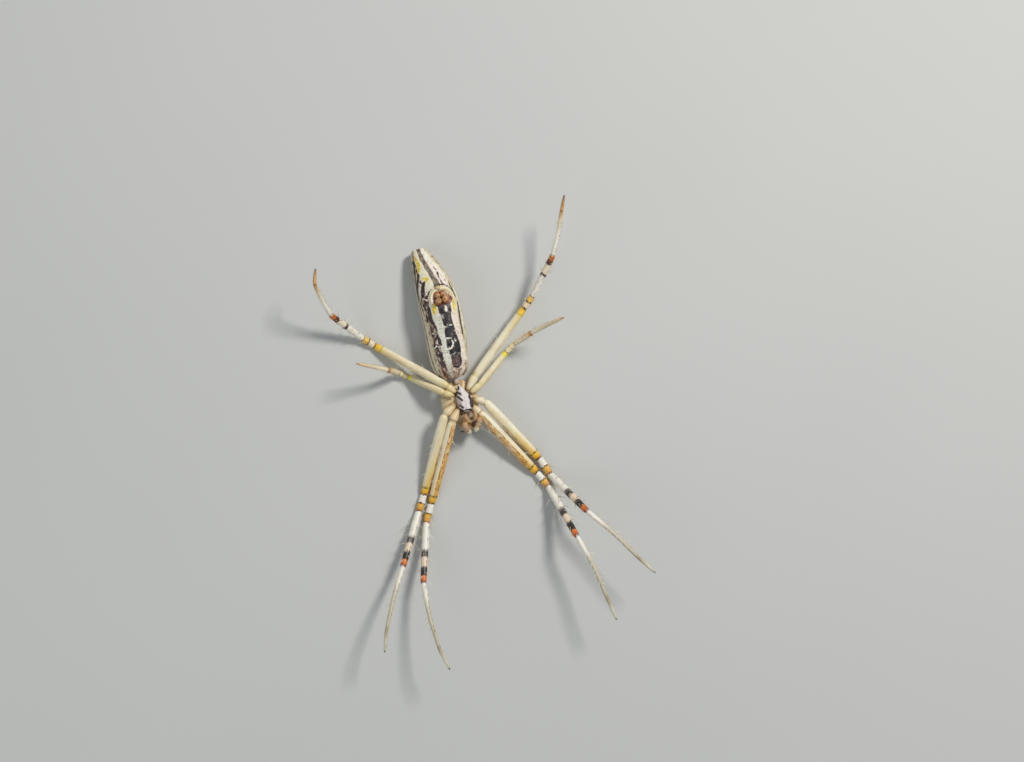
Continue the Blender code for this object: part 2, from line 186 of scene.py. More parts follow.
def nodeShape(*nodes):
    # a merged copy of CAD nodes, in millimetres
    bm = bmesh.new()
    for name in nodes:
        bm.from_mesh(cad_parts[name].data)
    bmesh.ops.remove_doubles(bm, verts=bm.verts, dist=0.001 * mm)
    bmesh.ops.scale(bm, vec=(1 / mm, 1 / mm, 1 / mm), verts=bm.verts)
    bm.verts.index_update()
    bm.normal_update()
    return bm


def meanOf(points):
    points = list(points)
    return sum(points, Vector()) / len(points)


def middleOf(*nodes):
    bm = nodeShape(*nodes)
    middle = meanOf(vertex.co for vertex in bm.verts)
    bm.free()
    return middle


def boxOf(node):
    return [Vector(corner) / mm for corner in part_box(node)]


def insideOf(*nodes):
    # CAD nodes as a tree that rays can feel
    bm = nodeShape(*nodes)
    tree = BVHTree.FromBMesh(bm)
    bm.free()
    return tree


def newObject(name, data, matrix=Matrix()):
    made = bpy.data.objects.new(name, data)
    made.matrix_world = matrix
    bpy.context.scene.collection.objects.link(made)
    return made


def meshOf(bm, name):
    mesh = bpy.data.meshes.new(name)
    bm.to_mesh(mesh)
    bm.free()
    return mesh


def newPiece(mesh, name, material, slot, nodes=()):
    mesh.shade_smooth()
    mesh.materials.append(material)
    piece = newObject(name, mesh)
    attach(piece, "root")
    if nodes:
        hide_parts(*nodes)


def makePiece(bm, name, *rest):
    bmesh.ops.scale(bm, vec=(mm, mm, mm), verts=bm.verts)
    newPiece(meshOf(bm, name), name, *rest)


def between(table, place):
    # a value from a table of (place, value), smooth between its rows
    if place <= table[0][0]:
        return table[0][1]
    for (start, first), (end, second) in zip(table, table[1:]):
        if place <= end:
            share = (place - start) / (end - start)
            share = share * share * (3 - 2 * share)
            return first + (second - first) * share
    return table[-1][1]


def limited(value, low=0.0, high=1.0):
    return max(low, min(high, value))


def hump(distance, width):
    return math.exp(-(distance / width) ** 2)


def wrappedSkin(rows, around, spot, close=1e-4, layers=()):
    # a grid rolled into a closed skin: spot(row, turn) gives a point and its pattern place
    bm = bmesh.new()
    unwrap = bm.loops.layers.uv.new("unwrap")
    pattern = bm.verts.layers.float_vector.new("pattern")
    extra = [bm.verts.layers.float_vector.new(name) for name, _ in layers]
    bmesh.ops.create_grid(bm, x_segments=around, y_segments=rows - 1, size=0.5, calc_uvs=True)
    for face in bm.faces:
        for loop in face.loops:
            loop[unwrap].uv = (loop.vert.co.y + 0.5, loop.vert.co.x + 0.5)
    for vertex in bm.verts:
        row = round((vertex.co.y + 0.5) * (rows - 1))
        turn = (vertex.co.x + 0.5) * math.tau
        vertex.co, vertex[pattern] = spot(row, turn)
        for layer, (_, value) in zip(extra, layers):
            vertex[layer] = value(vertex[pattern])
    bmesh.ops.remove_doubles(bm, verts=bm.verts, dist=close)
    bmesh.ops.recalc_face_normals(bm, faces=bm.faces)
    bm.normal_update()
    return bm


def turned(profile, steps):
    # a profile of (distance, height) points spun round Z
    bm = bmesh.new()
    points = [bm.verts.new((distance, 0, height)) for distance, height in profile]
    for first, second in zip(points, points[1:]):
        bm.edges.new((first, second))
    bmesh.ops.spin(bm, geom=bm.verts[:] + bm.edges[:], cent=(0, 0, 0), axis=(0, 0, 1),
                   angle=math.tau, steps=steps, use_merge=True)
    bmesh.ops.remove_doubles(bm, verts=bm.verts, dist=1e-4)
    bmesh.ops.recalc_face_normals(bm, faces=bm.faces)
    return bm


def flattened(vector, normal):
    # a direction without its part along the normal
    return (vector - normal * vector.dot(normal)).normalized()


def axesMatrix(x, y, z, spot):
    return Matrix([*((x[row], y[row], z[row], spot[row]) for row in range(3)), (0, 0, 0, 1)])


def axesAlong(spot, forward, upward):
    # a matrix whose Z runs forward and whose X is turned towards upward
    z = forward.normalized()
    x = flattened(upward, z)
    return axesMatrix(x, z.cross(x), z, spot)


# hairs and spines: one small tapered shape, planted many times

bristle = {"sides": 3, "sections": 3, "bend": 0.18, "tip": 0.12, "patch": 0.003}


def bristleShape():
    # a hair along +Z, one long and one thick: its points, and its faces as point numbers
    bm = bmesh.new()
    bmesh.ops.create_cone(bm, cap_ends=False, segments=bristle["sides"], radius1=1.0,
                          radius2=bristle["tip"], depth=1.0)
    bmesh.ops.translate(bm, vec=(0, 0, 0.5), verts=bm.verts)
    for cut in range(1, bristle["sections"]):
        bmesh.ops.bisect_plane(bm, geom=bm.verts[:] + bm.edges[:] + bm.faces[:],
                               plane_co=(0, 0, cut / bristle["sections"]), plane_no=(0, 0, 1))
    bm.verts.index_update()
    points = [vertex.co.copy() for vertex in bm.verts]
    faces = [[vertex.index for vertex in face.verts] for face in bm.faces]
    bm.free()
    return points, faces


def plant(plants, root, direction, length, thickness, towards, spot):
    # one more hair, bent towards a side; spot is its place on the skin's unwrap
    if (root + direction.normalized() * length).z > clearance:
        plants.append((root, direction, length, thickness, towards, spot))


def plantAll(name, material, slot, plants):
    points, faces = bristleShape()
    patch = bristle["patch"]
    corners = ((0, 0), (patch, 0), (patch, patch), (0, patch))
    vertices = []
    polygons = []
    spots = []
    for root, direction, length, thickness, towards, spot in plants:
        place = axesAlong(root, direction, towards)
        first = len(vertices)
        for point in points:
            bent = Vector((point.x * thickness / 2 + bristle["bend"] * length * point.z ** 2,
                           point.y * thickness / 2, point.z * length))
            vertices.append((place @ bent) * mm)
        for face in faces:
            polygons.append([first + index for index in face])
            for corner in range(len(face)):
                across, up = corners[corner % 4]
                spots += [spot[0] + across, spot[1] + up]
    mesh = bpy.data.meshes.new(name)
    mesh.from_pydata(vertices, [], polygons)
    unwrap = mesh.uv_layers.new(name="OFBake")
    unwrap.data.foreach_set("uv", spots)
    newPiece(mesh, name, material, slot)


def rootsOn(bm, count, keep=None):
    # random points on a skin: point, normal and place on its unwrap
    unwrap = bm.loops.layers.uv.active
    faces = [face for face in bm.faces if keep is None or keep(face)]
    weights = [face.calc_area() for face in faces]
    found = []
    for face in chance.choices(faces, weights, k=count):
        shares = [chance.random() + 0.05 for _ in face.loops]
        total = sum(shares)
        point = sum((loop.vert.co * share for loop, share in zip(face.loops, shares)),
                    Vector()) / total
        spot = sum((loop[unwrap].uv * share for loop, share in zip(face.loops, shares)),
                   Vector((0, 0))) / total
        found.append((point, face.normal.copy(), spot))
    return found


def furOn(bm, coat, combed, towards, keep=None):
    # the hairs of a skin, as its table says, lifted off it and combed one way
    hairs = []
    for root, normal, spot in rootsOn(bm, coat["hairs"], keep):
        lift = chance.uniform(*coat["lift"]) if isinstance(coat["lift"], tuple) else coat["lift"]
        plant(hairs, root, normal * lift + combed, chance.uniform(*coat["hairLength"]),
              coat["hairThickness"], towards, spot)
    return hairs


def hairLook(name, rootTone, tipTone, roughness=0.45):
    look = Look(name)
    patches = look.noise(2.5, 2)
    look.colour = look.blend(rootTone, tipTone, patches, 0.35, 0.65)
    return look.finish(patches * 0.2 + (roughness - 0.1))


# the legs

legs = {
    # knee and foot as shares of their solids; the streak on the femur: its turn from the
    # belly side in degrees, how narrow, where it starts and ends, and its depth
    1: {"patella": 0.215, "metatarsus": 0.753, "spineLength": 0.95, "swell": 1.1,
        "bands": "front", "streak": (52, 0.5, 1.05, 1.9, 0.95)},
    2: {"patella": 0.219, "metatarsus": 0.769, "spineLength": 0.95, "swell": 1.1,
        "bands": "front", "streak": (70, 0.8, 1.4, 1.88, 0.5)},
    3: {"patella": 0.338, "metatarsus": 0.697, "spineLength": 0.5, "swell": 1.05,
        "bands": "third", "streak": (40, 0.9, 1.2, 1.8, 0.15)},
    4: {"patella": 0.235, "metatarsus": 0.752, "spineLength": 0.7, "swell": 1.05,
        "bands": "hind", "streak": (30, 0.93, 1.3, 1.85, 0.15)},
    # tone and strength of the pale patches: warm cream on the left legs, whiter and stronger on
    # the right legs as painted light from that side
    "left": ("ecce9c", 0.25),
    "right": ("faf4e0", 0.6),
    "around": 24,
    # millimetres by which a knee and the end of the short segment after it lie further out
    "shifts": {"leg1_left": (0.12, 0.3), "leg2_left": (0.05, 0.1), "leg2_right": (-0.3, 0.0)},
    # share of the solid's radius along the leg, one unit of place for each segment: coxa,
    # femur, patella, tibia, metatarsus and tarsus
    "fullness": ((0, 0.9), (0.1, 0.97), (0.8, 1), (0.93, 0.98), (0.99, 0.86), (1.02, 0.9),
        (1.05, 0.97), (1.3, 0.99), (1.9, 0.99), (1.965, 0.97), (2, 0.84), (2.07, 0.97),
        (2.5, 0.99), (2.92, 0.97), (3, 0.84), (3.035, 0.95), (3.2, 0.99), (3.9, 0.95),
        (3.97, 0.97), (4, 0.78), (4.03, 0.84), (4.12, 0.86), (4.35, 0.75), (4.6, 0.7),
        (4.95, 0.68), (5, 0.6), (5.04, 0.65), (5.5, 0.6), (5.9, 0.55), (6, 0.6)),
    # spines on a segment: its number, how many, where along it, share of the full length,
    # and the rows they stand in, in degrees from the belly side
    "spines": ((1, 10, 0.2, 0.9, 0.6, (70, 110, 180, 250, 290)),
               (2, 4, 0.3, 0.85, 0.7, (90, 180, 270)),
               (3, 24, 0.06, 0.94, 1.0, (25, 90, 180, 270, 335)),
               (4, 16, 0.04, 0.8, 0.7, (30, 90, 270, 330))),
    "spineThickness": 0.095,
    "hairs": 420,
    "hairLength": (0.12, 0.26),
    "hairThickness": 0.012,
    "claw": {"length": 0.2, "thickness": 0.05, "spread": 0.5},
}


# how a limb's solid is felt, in millimetres: rays in a slice, the step between slices, how far
# inside an end they stop, how much fuller the skin is, how fast the heading turns with the
# limb, and the rounds of smoothing
feeling = {"rays": 16, "step": 0.1, "inside": 0.03, "fuller": 1.04, "turning": 0.33, "rounds": 4}


def nearestOf(node, point):
    # the middle of a solid's end that faces a point
    shape = nodeShape(node)
    near = sorted((vertex.co.copy() for vertex in shape.verts),
                  key=lambda corner: (corner - point).length)
    shape.free()
    return meanOf(near[:8])


def feelAlong(node, start, heading, follow):
    # slices of a CAD tube, felt with rays from inside: centre, radius, and heading at its end
    tree = insideOf(node)
    spot, normal = tree.find_nearest(start)[:2]
    if follow and normal.dot(heading) < -0.7:
        heading = -normal
    centre = spot + heading * feeling["inside"]
    rays = feeling["rays"]
    slices = []
    while True:
        across = heading.orthogonal().normalized()
        for _ in range(2):
            hits = [tree.ray_cast(centre, Matrix.Rotation(turn * math.tau / rays, 3, heading)
                                  @ across)[0] for turn in range(rays)]
            centre = meanOf(hits)
        distances = sorted((hit - centre).length for hit in hits)
        if slices:
            heading = heading.lerp((centre - slices[-1][0]).normalized(), follow).normalized()
        slices.append((centre, distances[rays // 2] * feeling["fuller"]))
        ahead = tree.ray_cast(centre, heading)[3]
        if ahead < feeling["inside"]:
            return slices, heading
        centre = centre + heading * min(feeling["step"], ahead - 0.01)


def smoothed(values):
    for _ in range(feeling["rounds"]):
        values = [values[0], *((a + b + c) / 3 for a, b, c in zip(
            values, values[1:], values[2:])), values[-1]]
    return values


class Limb:
    # a limb's axis, felt inside its solids and made smooth, and its place in segments
    def __init__(self, nodes, start, side, fullness, shares=None, step=0.08):
        self.nodes = nodes
        self.side = side
        self.fullness = fullness
        points = []
        ends = []
        first = middleOf(nodes[0])
        heading = (first - start).normalized()
        if len(nodes) > 1:
            # the first solid is short and straight: it points at the next one
            heading = (nearestOf(nodes[1], first) - first).normalized()
            start = first - heading * 3
        for node in nodes:
            straight = len(nodes) > 1 and node == nodes[0]
            slices, heading = feelAlong(node, start, heading,
                                        0 if straight else feeling["turning"])
            points += slices
            start = slices[-1][0]
            ends.append(len(points) - 1)
        lengths = [0.0]
        for (first, _), (second, _) in zip(points, points[1:]):
            lengths.append(lengths[-1] + (second - first).length)
        self.length = lengths[-1]
        self.joints = [(lengths[last] + lengths[last + 1]) / 2 for last in ends[:-1]]
        self.marks = [share * self.length for share in shares] if shares else []
        self.count = round(self.length / step) + 1
        centres = []
        radii = []
        for number in range(self.count):
            distance = self.length * number / (self.count - 1)
            index = max(index for index, length in enumerate(lengths[:-1])
                        if length <= distance + 1e-6)
            share = (distance - lengths[index]) / (lengths[index + 1] - lengths[index])
            (first, thin), (second, thick) = points[index:index + 2]
            centres.append(first.lerp(second, share))
            radii.append(thin * (1 - share) + thick * share)
        self.centres = smoothed(centres)
        self.radii = smoothed(radii)
        self.tangents = [(self.centres[min(index + 1, self.count - 1)]
                          - self.centres[max(index - 1, 0)]).normalized()
                         for index in range(self.count)]

    def placeAt(self, number):
        # the segment's number plus the share along it
        distance = self.length * number / (self.count - 1)
        last = len(self.marks) - 2
        for index, (start, end) in enumerate(zip(self.marks, self.marks[1:])):
            if distance <= end or index == last:
                return index + min(1.0, (distance - start) / (end - start))

    def numberAt(self, place):
        index = min(int(place), len(self.marks) - 2)
        start, end = self.marks[index:index + 2]
        distance = start + (place - index) * (end - start)
        return limited(round(distance / self.length * (self.count - 1)), 0, self.count - 1)

    def outward(self, number, turn):
        # turn 0 is the belly side, a quarter turn on is the side towards the head
        tangent = self.tangents[number]
        up = flattened(belly, tangent)
        return up * math.cos(turn) + tangent.cross(up) * self.side * math.sin(turn)

    def surface(self, number, turn):
        radius = self.radii[number] * between(self.fullness, self.placeAt(number))
        point = self.centres[number] + self.outward(number, turn) * radius
        point.z = max(point.z, 0.0)
        return point

    def spot(self, row, turn):
        number = limited(row - 1, 0, self.count - 1)
        place = Vector((self.placeAt(number), math.cos(turn), math.sin(turn)))
        if row == 0:
            return self.centres[0].copy(), place
        if row == self.count + 1:
            return self.centres[-1] + self.tangents[-1] * feeling["inside"], place
        return self.surface(number, turn), place

    def skin(self, around):
        return wrappedSkin(self.count + 2, around, self.spot)

    def plant(self, plants, place, turn, length, thickness, sunk, lift, lean=1.0):
        # a hair or spine that leans towards the limb's tip
        ring = self.numberAt(place)
        outward = self.outward(ring, turn)
        ahead = self.tangents[ring]
        plant(plants, self.surface(ring, turn) - outward * sunk, outward * lift + ahead * lean,
              length, thickness, ahead, (ring / self.count, turn % math.tau / math.tau))


cream = "eee2ba"
straw = "e4d096"
white = "f2eee2"

legBands = {
    "front": ((0, "ba986c"), (0.35, "e2ca9e"), (0.93, "eedcb4"), (0.985, "b89262"), (1.035, cream),
        (1.4, cream), (1.7, "eed48e"), (1.88, "eac46c"), (1.905, "f0be3e"), (1.93, "f8ca36"),
        (1.985, "eea428"), (2.03, white), (2.47, white), (2.53, "d69c44"), (2.62, "f0be4e"),
        (2.93, "cc8c3e"), (3.03, white), (3.43, white), (3.475, "969088"), (3.51, "423c3a"),
        (3.57, "4e443e"), (3.605, "f0dac6"), (3.72, "e8d2b4"), (3.75, "544e4a"), (3.79, "262224"),
        (3.87, "322824"), (3.895, "e2843a"), (3.95, "de7430"), (3.985, "8c4622"), (4.015, white),
        (4.25, "eee8da"), (4.4, "ccc4ae"), (4.94, "beb49a"), (5, "a49476"), (5.5, "d8d2b8"),
        (5.93, "d2ccb2"), (6, "60584c")),
    "third": ((0, "bea06e"), (0.4, "e8d69e"), (0.97, straw), (1.04, straw), (1.5, cream),
        (1.85, "e8deaa"), (1.89, "f0de46"), (1.985, "f0d83c"), (2.03, cream), (2.45, cream),
        (2.55, "eccc82"), (2.65, cream), (2.92, "eedcaa"), (3.05, cream), (3.5, "f0e2c8"),
        (3.82, "eed6aa"), (3.88, "e0aa60"), (3.98, "d69650"), (4.04, "f0e4c8"), (4.5, "ecdebe"),
        (5, "e2cca8"), (5.6, "e6c89e"), (6, "c89460")),
    "hind": ((0, "c4a878"), (0.4, "f0e0b0"), (0.96, "ecd89e"), (1.02, straw), (1.12, cream),
        (1.6, cream), (1.87, straw), (1.9, "f0ce52"), (1.93, "f6ce3c"), (1.985, "f0b832"),
        (2.03, "eedcb6"), (2.4, "f0dec0"), (2.55, "e6c064"), (2.65, "f2c44c"), (2.9, "e6be6e"),
        (3.04, white), (3.48, white), (3.51, "3e2c22"), (3.55, "543a2a"), (3.575, "f2e4ce"),
        (3.77, "f0dec4"), (3.79, "482a1a"), (3.86, "623218"), (3.9, "c47030"), (3.96, "be682c"),
        (3.99, "dcb06e"), (4.02, white), (4.45, "f6f0e2"), (4.8, "e4d2ae"), (4.96, "cca670"),
        (5, "96683e"), (5.06, "d6a466"), (5.6, "c4945e"), (5.92, "966e48"), (6, "2c1e18")),
}

# thin dark rings, broken round the leg: start, end and strength
legRings = {
    "front": ((0.985, 1.005, 0.5), (1.9, 1.912, 0.8), (1.985, 2.03, 1), (2.5, 2.56, 1),
        (2.955, 3.005, 0.8), (3.985, 4.005, 0.6)),
    "third": ((0.99, 1.005, 0.4), (1.985, 2.02, 0.9), (2.49, 2.53, 0.6), (2.97, 3.02, 0.8),
        (3.5, 3.53, 0.4), (3.9, 3.94, 0.5), (3.98, 4.01, 0.8)),
    "hind": ((0.99, 1.01, 0.4), (1.9, 1.91, 0.4), (1.987, 2.03, 1), (2.46, 2.56, 0.9),
        (2.94, 3, 1), (3.99, 4.015, 0.7)),
}


def bandColours(look, place, stops):
    # the bands along a leg, in two ramps that meet at the tibia's start
    half = 3.0
    near = [stop for stop in stops if stop[0] <= half]
    far = [stop for stop in stops if stop[0] >= half]
    near.append((half, near[-1][1]))
    far.insert(0, (half, far[0][1]))
    low, high = (look.ramp((place - start) / half,
                           *(((spot - start) / half, colour) for spot, colour in part))
                 for start, part in ((0.0, near), (half, far)))
    return look.blend(low, high, place, half - 0.004, half + 0.004)


def ringStops(rings):
    edge = 0.008
    stops = [(0.0, "000000")]
    for start, end, strength in rings:
        ring = (strength, strength, strength, 1.0)
        stops += [(start - edge, "000000"), (start, ring), (end, ring), (end + edge, "000000")]
    return stops


def legLook(name, pair, side):
    look = Look(f"{name} skin", (0.15, 0.25), (0.08, 0.15))
    bands = legs[pair]["bands"]
    aim, narrow, start, end, depth = legs[pair]["streak"]
    place, cosine, sine = look.attribute("pattern")
    wobble = look.noise(3, 2) - 0.5
    ragged = look.noise(6, 3) - 0.5
    reach = 0.03 + look.band(place, 2, 3, 0.02) * 0.14 + look.band(place, 3, 4, 0.02) * 0.05
    waved = place + (wobble + ragged * 0.6) * reach + cosine * 0.008
    look.colour = bandColours(look, waved, legBands[bands])
    # a painted highlight: the femur's flank away from the head is painted paler, as if lit, and
    # fine lines run along the segments
    onFemur = look.band(place, 1.06, 1.9, 0.04)
    look.paint("fcf7e6", look.rise(0 - sine, -0.1, 0.8) * onFemur * 0.6)
    turn = look.math("ARCTAN2", sine, cosine)
    lines = look.noise(1, 3, look.join(place * 4, turn * 5.5))
    look.paint("ba803e", look.rise(lines, 0.52, 0.7) * onFemur * 0.5)
    # the streak with dots on the side towards the head
    towards = (cosine * math.cos(math.radians(aim)) + sine * math.sin(math.radians(aim)))
    streak = (look.rise(towards + wobble * 0.12, narrow, narrow + 0.14)
              * look.band(place, start, end, 0.07))
    grain = look.noise(1, 4, look.join(place * 16, turn * 3))
    look.paint("e4a84c", streak * look.rise(grain, 0.28, 0.55) * depth)
    look.paint("a86226", streak * look.rise(grain, 0.52, 0.64) * depth * 0.7)
    rim = (look.band(towards + wobble * 0.14, narrow + 0.05, narrow + 0.15, 0.04)
           * look.band(place, start, end - 0.1, 0.05))
    look.paint("5c3418", rim * look.rise(grain, 0.42, 0.5) * depth)
    cells = look.node("ShaderNodeTexVoronoi", values={
        "Vector": look.join(place * 26, turn * 3.6), "Scale": 1}, output="Distance")
    dots = (1 - look.rise(cells, 0.22, 0.4)) * look.rise(grain, 0.38, 0.48)
    look.paint("462814", streak * dots * depth)
    # broken dark rings, then pale patches, warm cream on the left legs and whiter and stronger on
    # the right legs as painted light from that side, and a few specks
    broken = look.noise(1, 2, look.join(cosine * 1.2, sine * 1.2, place * 2))
    rings = bandColours(look, waved, ringStops(legRings[bands]))
    look.paint("2a1e18", look.node("ShaderNodeSeparateColor", values=[rings])
               * (look.rise(broken, 0.4, 0.52) * 0.75 + 0.25))
    patches = look.noise(0.9, 3)
    paleAndLitTone, strength = legs[side]
    look.paint(paleAndLitTone, look.rise(patches, 0.35, 0.7) * strength
               * look.band(place, 0.2, 1.62, 0.16))
    look.paint("785432", look.rise(look.noise(9, 2), 0.64, 0.74) * 0.35)
    fine = look.noise(1, 3, look.join(place * 60, turn * 9))
    return look.finish(0.3 + 0.22 * patches + 0.12 * fine, fine * 0.5 + look.noise(14, 2),
                       0.018, 0.7)


def makeLeg(side, pair, bodyMiddle):
    name = f"leg{pair}_{side}"
    nodes = [f"{name}_{part}" for part in ("coxa", "femur", "shin", "foot")]
    # coxa and femur stand a little fuller than their slim solids
    fullness = [(place, share * (legs[pair]["swell"] if share > 0.96 and place < 1.95 else 1.0))
                for place, share in legs["fullness"]]
    leg = Limb(nodes, bodyMiddle, sides[side], fullness)
    trochanter, knee, ankle = leg.joints
    kneeShift, patellaShift = legs["shifts"].get(name, (0.0, 0.0))
    patellaEnd = knee + legs[pair]["patella"] * (ankle - knee) + patellaShift
    tarsusStart = ankle + legs[pair]["metatarsus"] * (leg.length - ankle)
    leg.marks = [0.0, trochanter, knee + kneeShift, patellaEnd, ankle, tarsusStart, leg.length]
    return name, leg


def plantLeg(leg, pair):
    # the spines and hairs of one leg
    spines = []
    for segment, count, start, end, share, rows in legs["spines"]:
        size = legs[pair]["spineLength"] * share
        for number in range(count):
            row = math.radians(rows[(number * 2) % len(rows)])
            leg.plant(spines, segment + (
                start + (end - start) * (number + chance.uniform(0.2, 0.8)) / count),
                row + chance.uniform(-0.2, 0.2), size * chance.uniform(0.75, 1.1),
                legs["spineThickness"], 0.03, 1.0, chance.uniform(0.35, 0.9))
    hairs = []
    for _ in range(legs["hairs"]):
        leg.plant(hairs, chance.uniform(0.3, 5.95), chance.uniform(0, math.tau),
                  chance.uniform(*legs["hairLength"]) * (0.7 if pair == 3 else 1.0),
                  legs["hairThickness"], 0.01, chance.uniform(0.35, 0.7))
    return spines, hairs


def plantClaws(claws, leg):
    # two hooked claws and a small middle one at the tip of a foot
    forward = leg.tangents[-1]
    down = leg.outward(leg.count - 1, 0.0)
    across = leg.outward(leg.count - 1, math.pi / 2)
    for share, scale in ((-1, 1.0), (1, 1.0), (0, 0.6)):
        plant(claws, leg.centres[-1] - forward * 0.02,
              forward + across * legs["claw"]["spread"] * share, legs["claw"]["length"] * scale,
              legs["claw"]["thickness"] * scale, down, (0.99, 0.5 + 0.1 * share))


def buildLegs():
    bodyMiddle = middleOf("leg1_left_coxa", "leg4_right_coxa", "leg4_left_coxa",
                          "leg1_right_coxa")
    spineTone = hairLook("leg spines", "ceb88c", "f6f0de", 0.35)
    hairTone = hairLook("leg hairs", "806240", "d6c4a0")
    clawTone = hairLook("claws", "221814", "3a261a", 0.25)
    claws = []
    for pair in (1, 2, 3, 4):
        for side in sides:
            name, leg = makeLeg(side, pair, bodyMiddle)
            makePiece(leg.skin(legs["around"]), f"{name}_skin", legLook(name, pair, side),
                      "leg", leg.nodes)
            spines, hairs = plantLeg(leg, pair)
            plantAll(f"{name}_spines", spineTone, "leg", spines)
            plantAll(f"{name}_hairs", hairTone, "leg", hairs)
            plantClaws(claws, leg)
    plantAll("claws", clawTone, "foot", claws)


# the abdomen and its tail

abdomen = {
    "rows": 260,
    "around": 160,
    "inset": 0.01,            # the skin lies this far inside the solid
    "margin": 0.02,           # its first and last ring lie this far inside the ends
    "eased": 0.3,             # how much closer together rings stand at the ends
    "fade": 12,               # rings over which the folds begin
    "offset": 0.3,            # X of the pattern's middle at the front, from the waist's
    # how far the middle line runs aside from there, by distance behind the front end
    "midline": ((0, 0), (1.5, 0.14), (3.1, 0.21), (5.2, 0.2), (6.7, 0.31), (7.7, 0.32),
        (9.1, 0.25), (9.95, 0.06), (10.85, -0.14), (11.65, -0.3), (12.4, -0.35)),
    # where each belt ends, in millimetres round the body from the midline
    "belts": (
        ((0, 0.3), (1.5, 0.5), (3.1, 0.66), (3.9, 0.57), (5.2, 0.45), (6.6, 0.6), (7.4, 0.5),
         (8.4, 0.28), (9.9, 0.23), (11, 0.21), (12.4, 0.18)),
        ((0, 0.8), (1.5, 1.15), (3.1, 1.3), (3.9, 1.12), (5.2, 1.14), (6.6, 1.4), (7.6, 1.3),
         (8.4, 1.3), (9.7, 1.25), (10.7, 1.02), (11.6, 0.86), (12.4, 0.6)),
        ((0, 1.3), (1.5, 1.8), (3.1, 1.95), (5.2, 1.9), (6.6, 2), (7.6, 1.9), (8.6, 1.7),
         (9.7, 1.5), (10.7, 1.25), (11.6, 1.05), (12.4, 0.8)),
        ((0, 1.8), (1.5, 2.55), (3.1, 2.75), (5.2, 2.75), (7.6, 2.7), (9.7, 2.3), (10.7, 2),
         (11.6, 1.6), (12.4, 1.2)),
    ),
    "hairs": 1500,
    "hairLength": (0.1, 0.24),
    "hairThickness": 0.011,
    "lift": (0.5, 1.0),
    # folds and swellings: how far behind the front end and aside, half width and half length
    "fold": {"behind": 2.33, "bow": 0.22, "turn": 1.4, "end": 1.6, "width": 0.1, "depth": 0.07},
    "lung": {"behind": 1.25, "aside": 1.15, "width": 0.55, "length": 0.62, "height": 0.05},
    "pits": {"count": 4, "behind": 3.1, "apart": 1.02, "aside": 0.52, "width": 0.09,
             "length": 0.12, "depth": 0.05},
    "plate": {"behind": 1.53, "aside": 0.0, "width": 0.42, "length": 0.6, "rim": 0.05,
              "softness": 0.2},
    "hollow": {"behind": 7.45, "aside": 0.06, "width": 1.06, "length": 0.96, "rim": 0.24,
               "softness": 0.17, "rimStart": 6.8, "rimGrowth": 0.5, "depth": 0.12,
               "inner": 0.78},
}

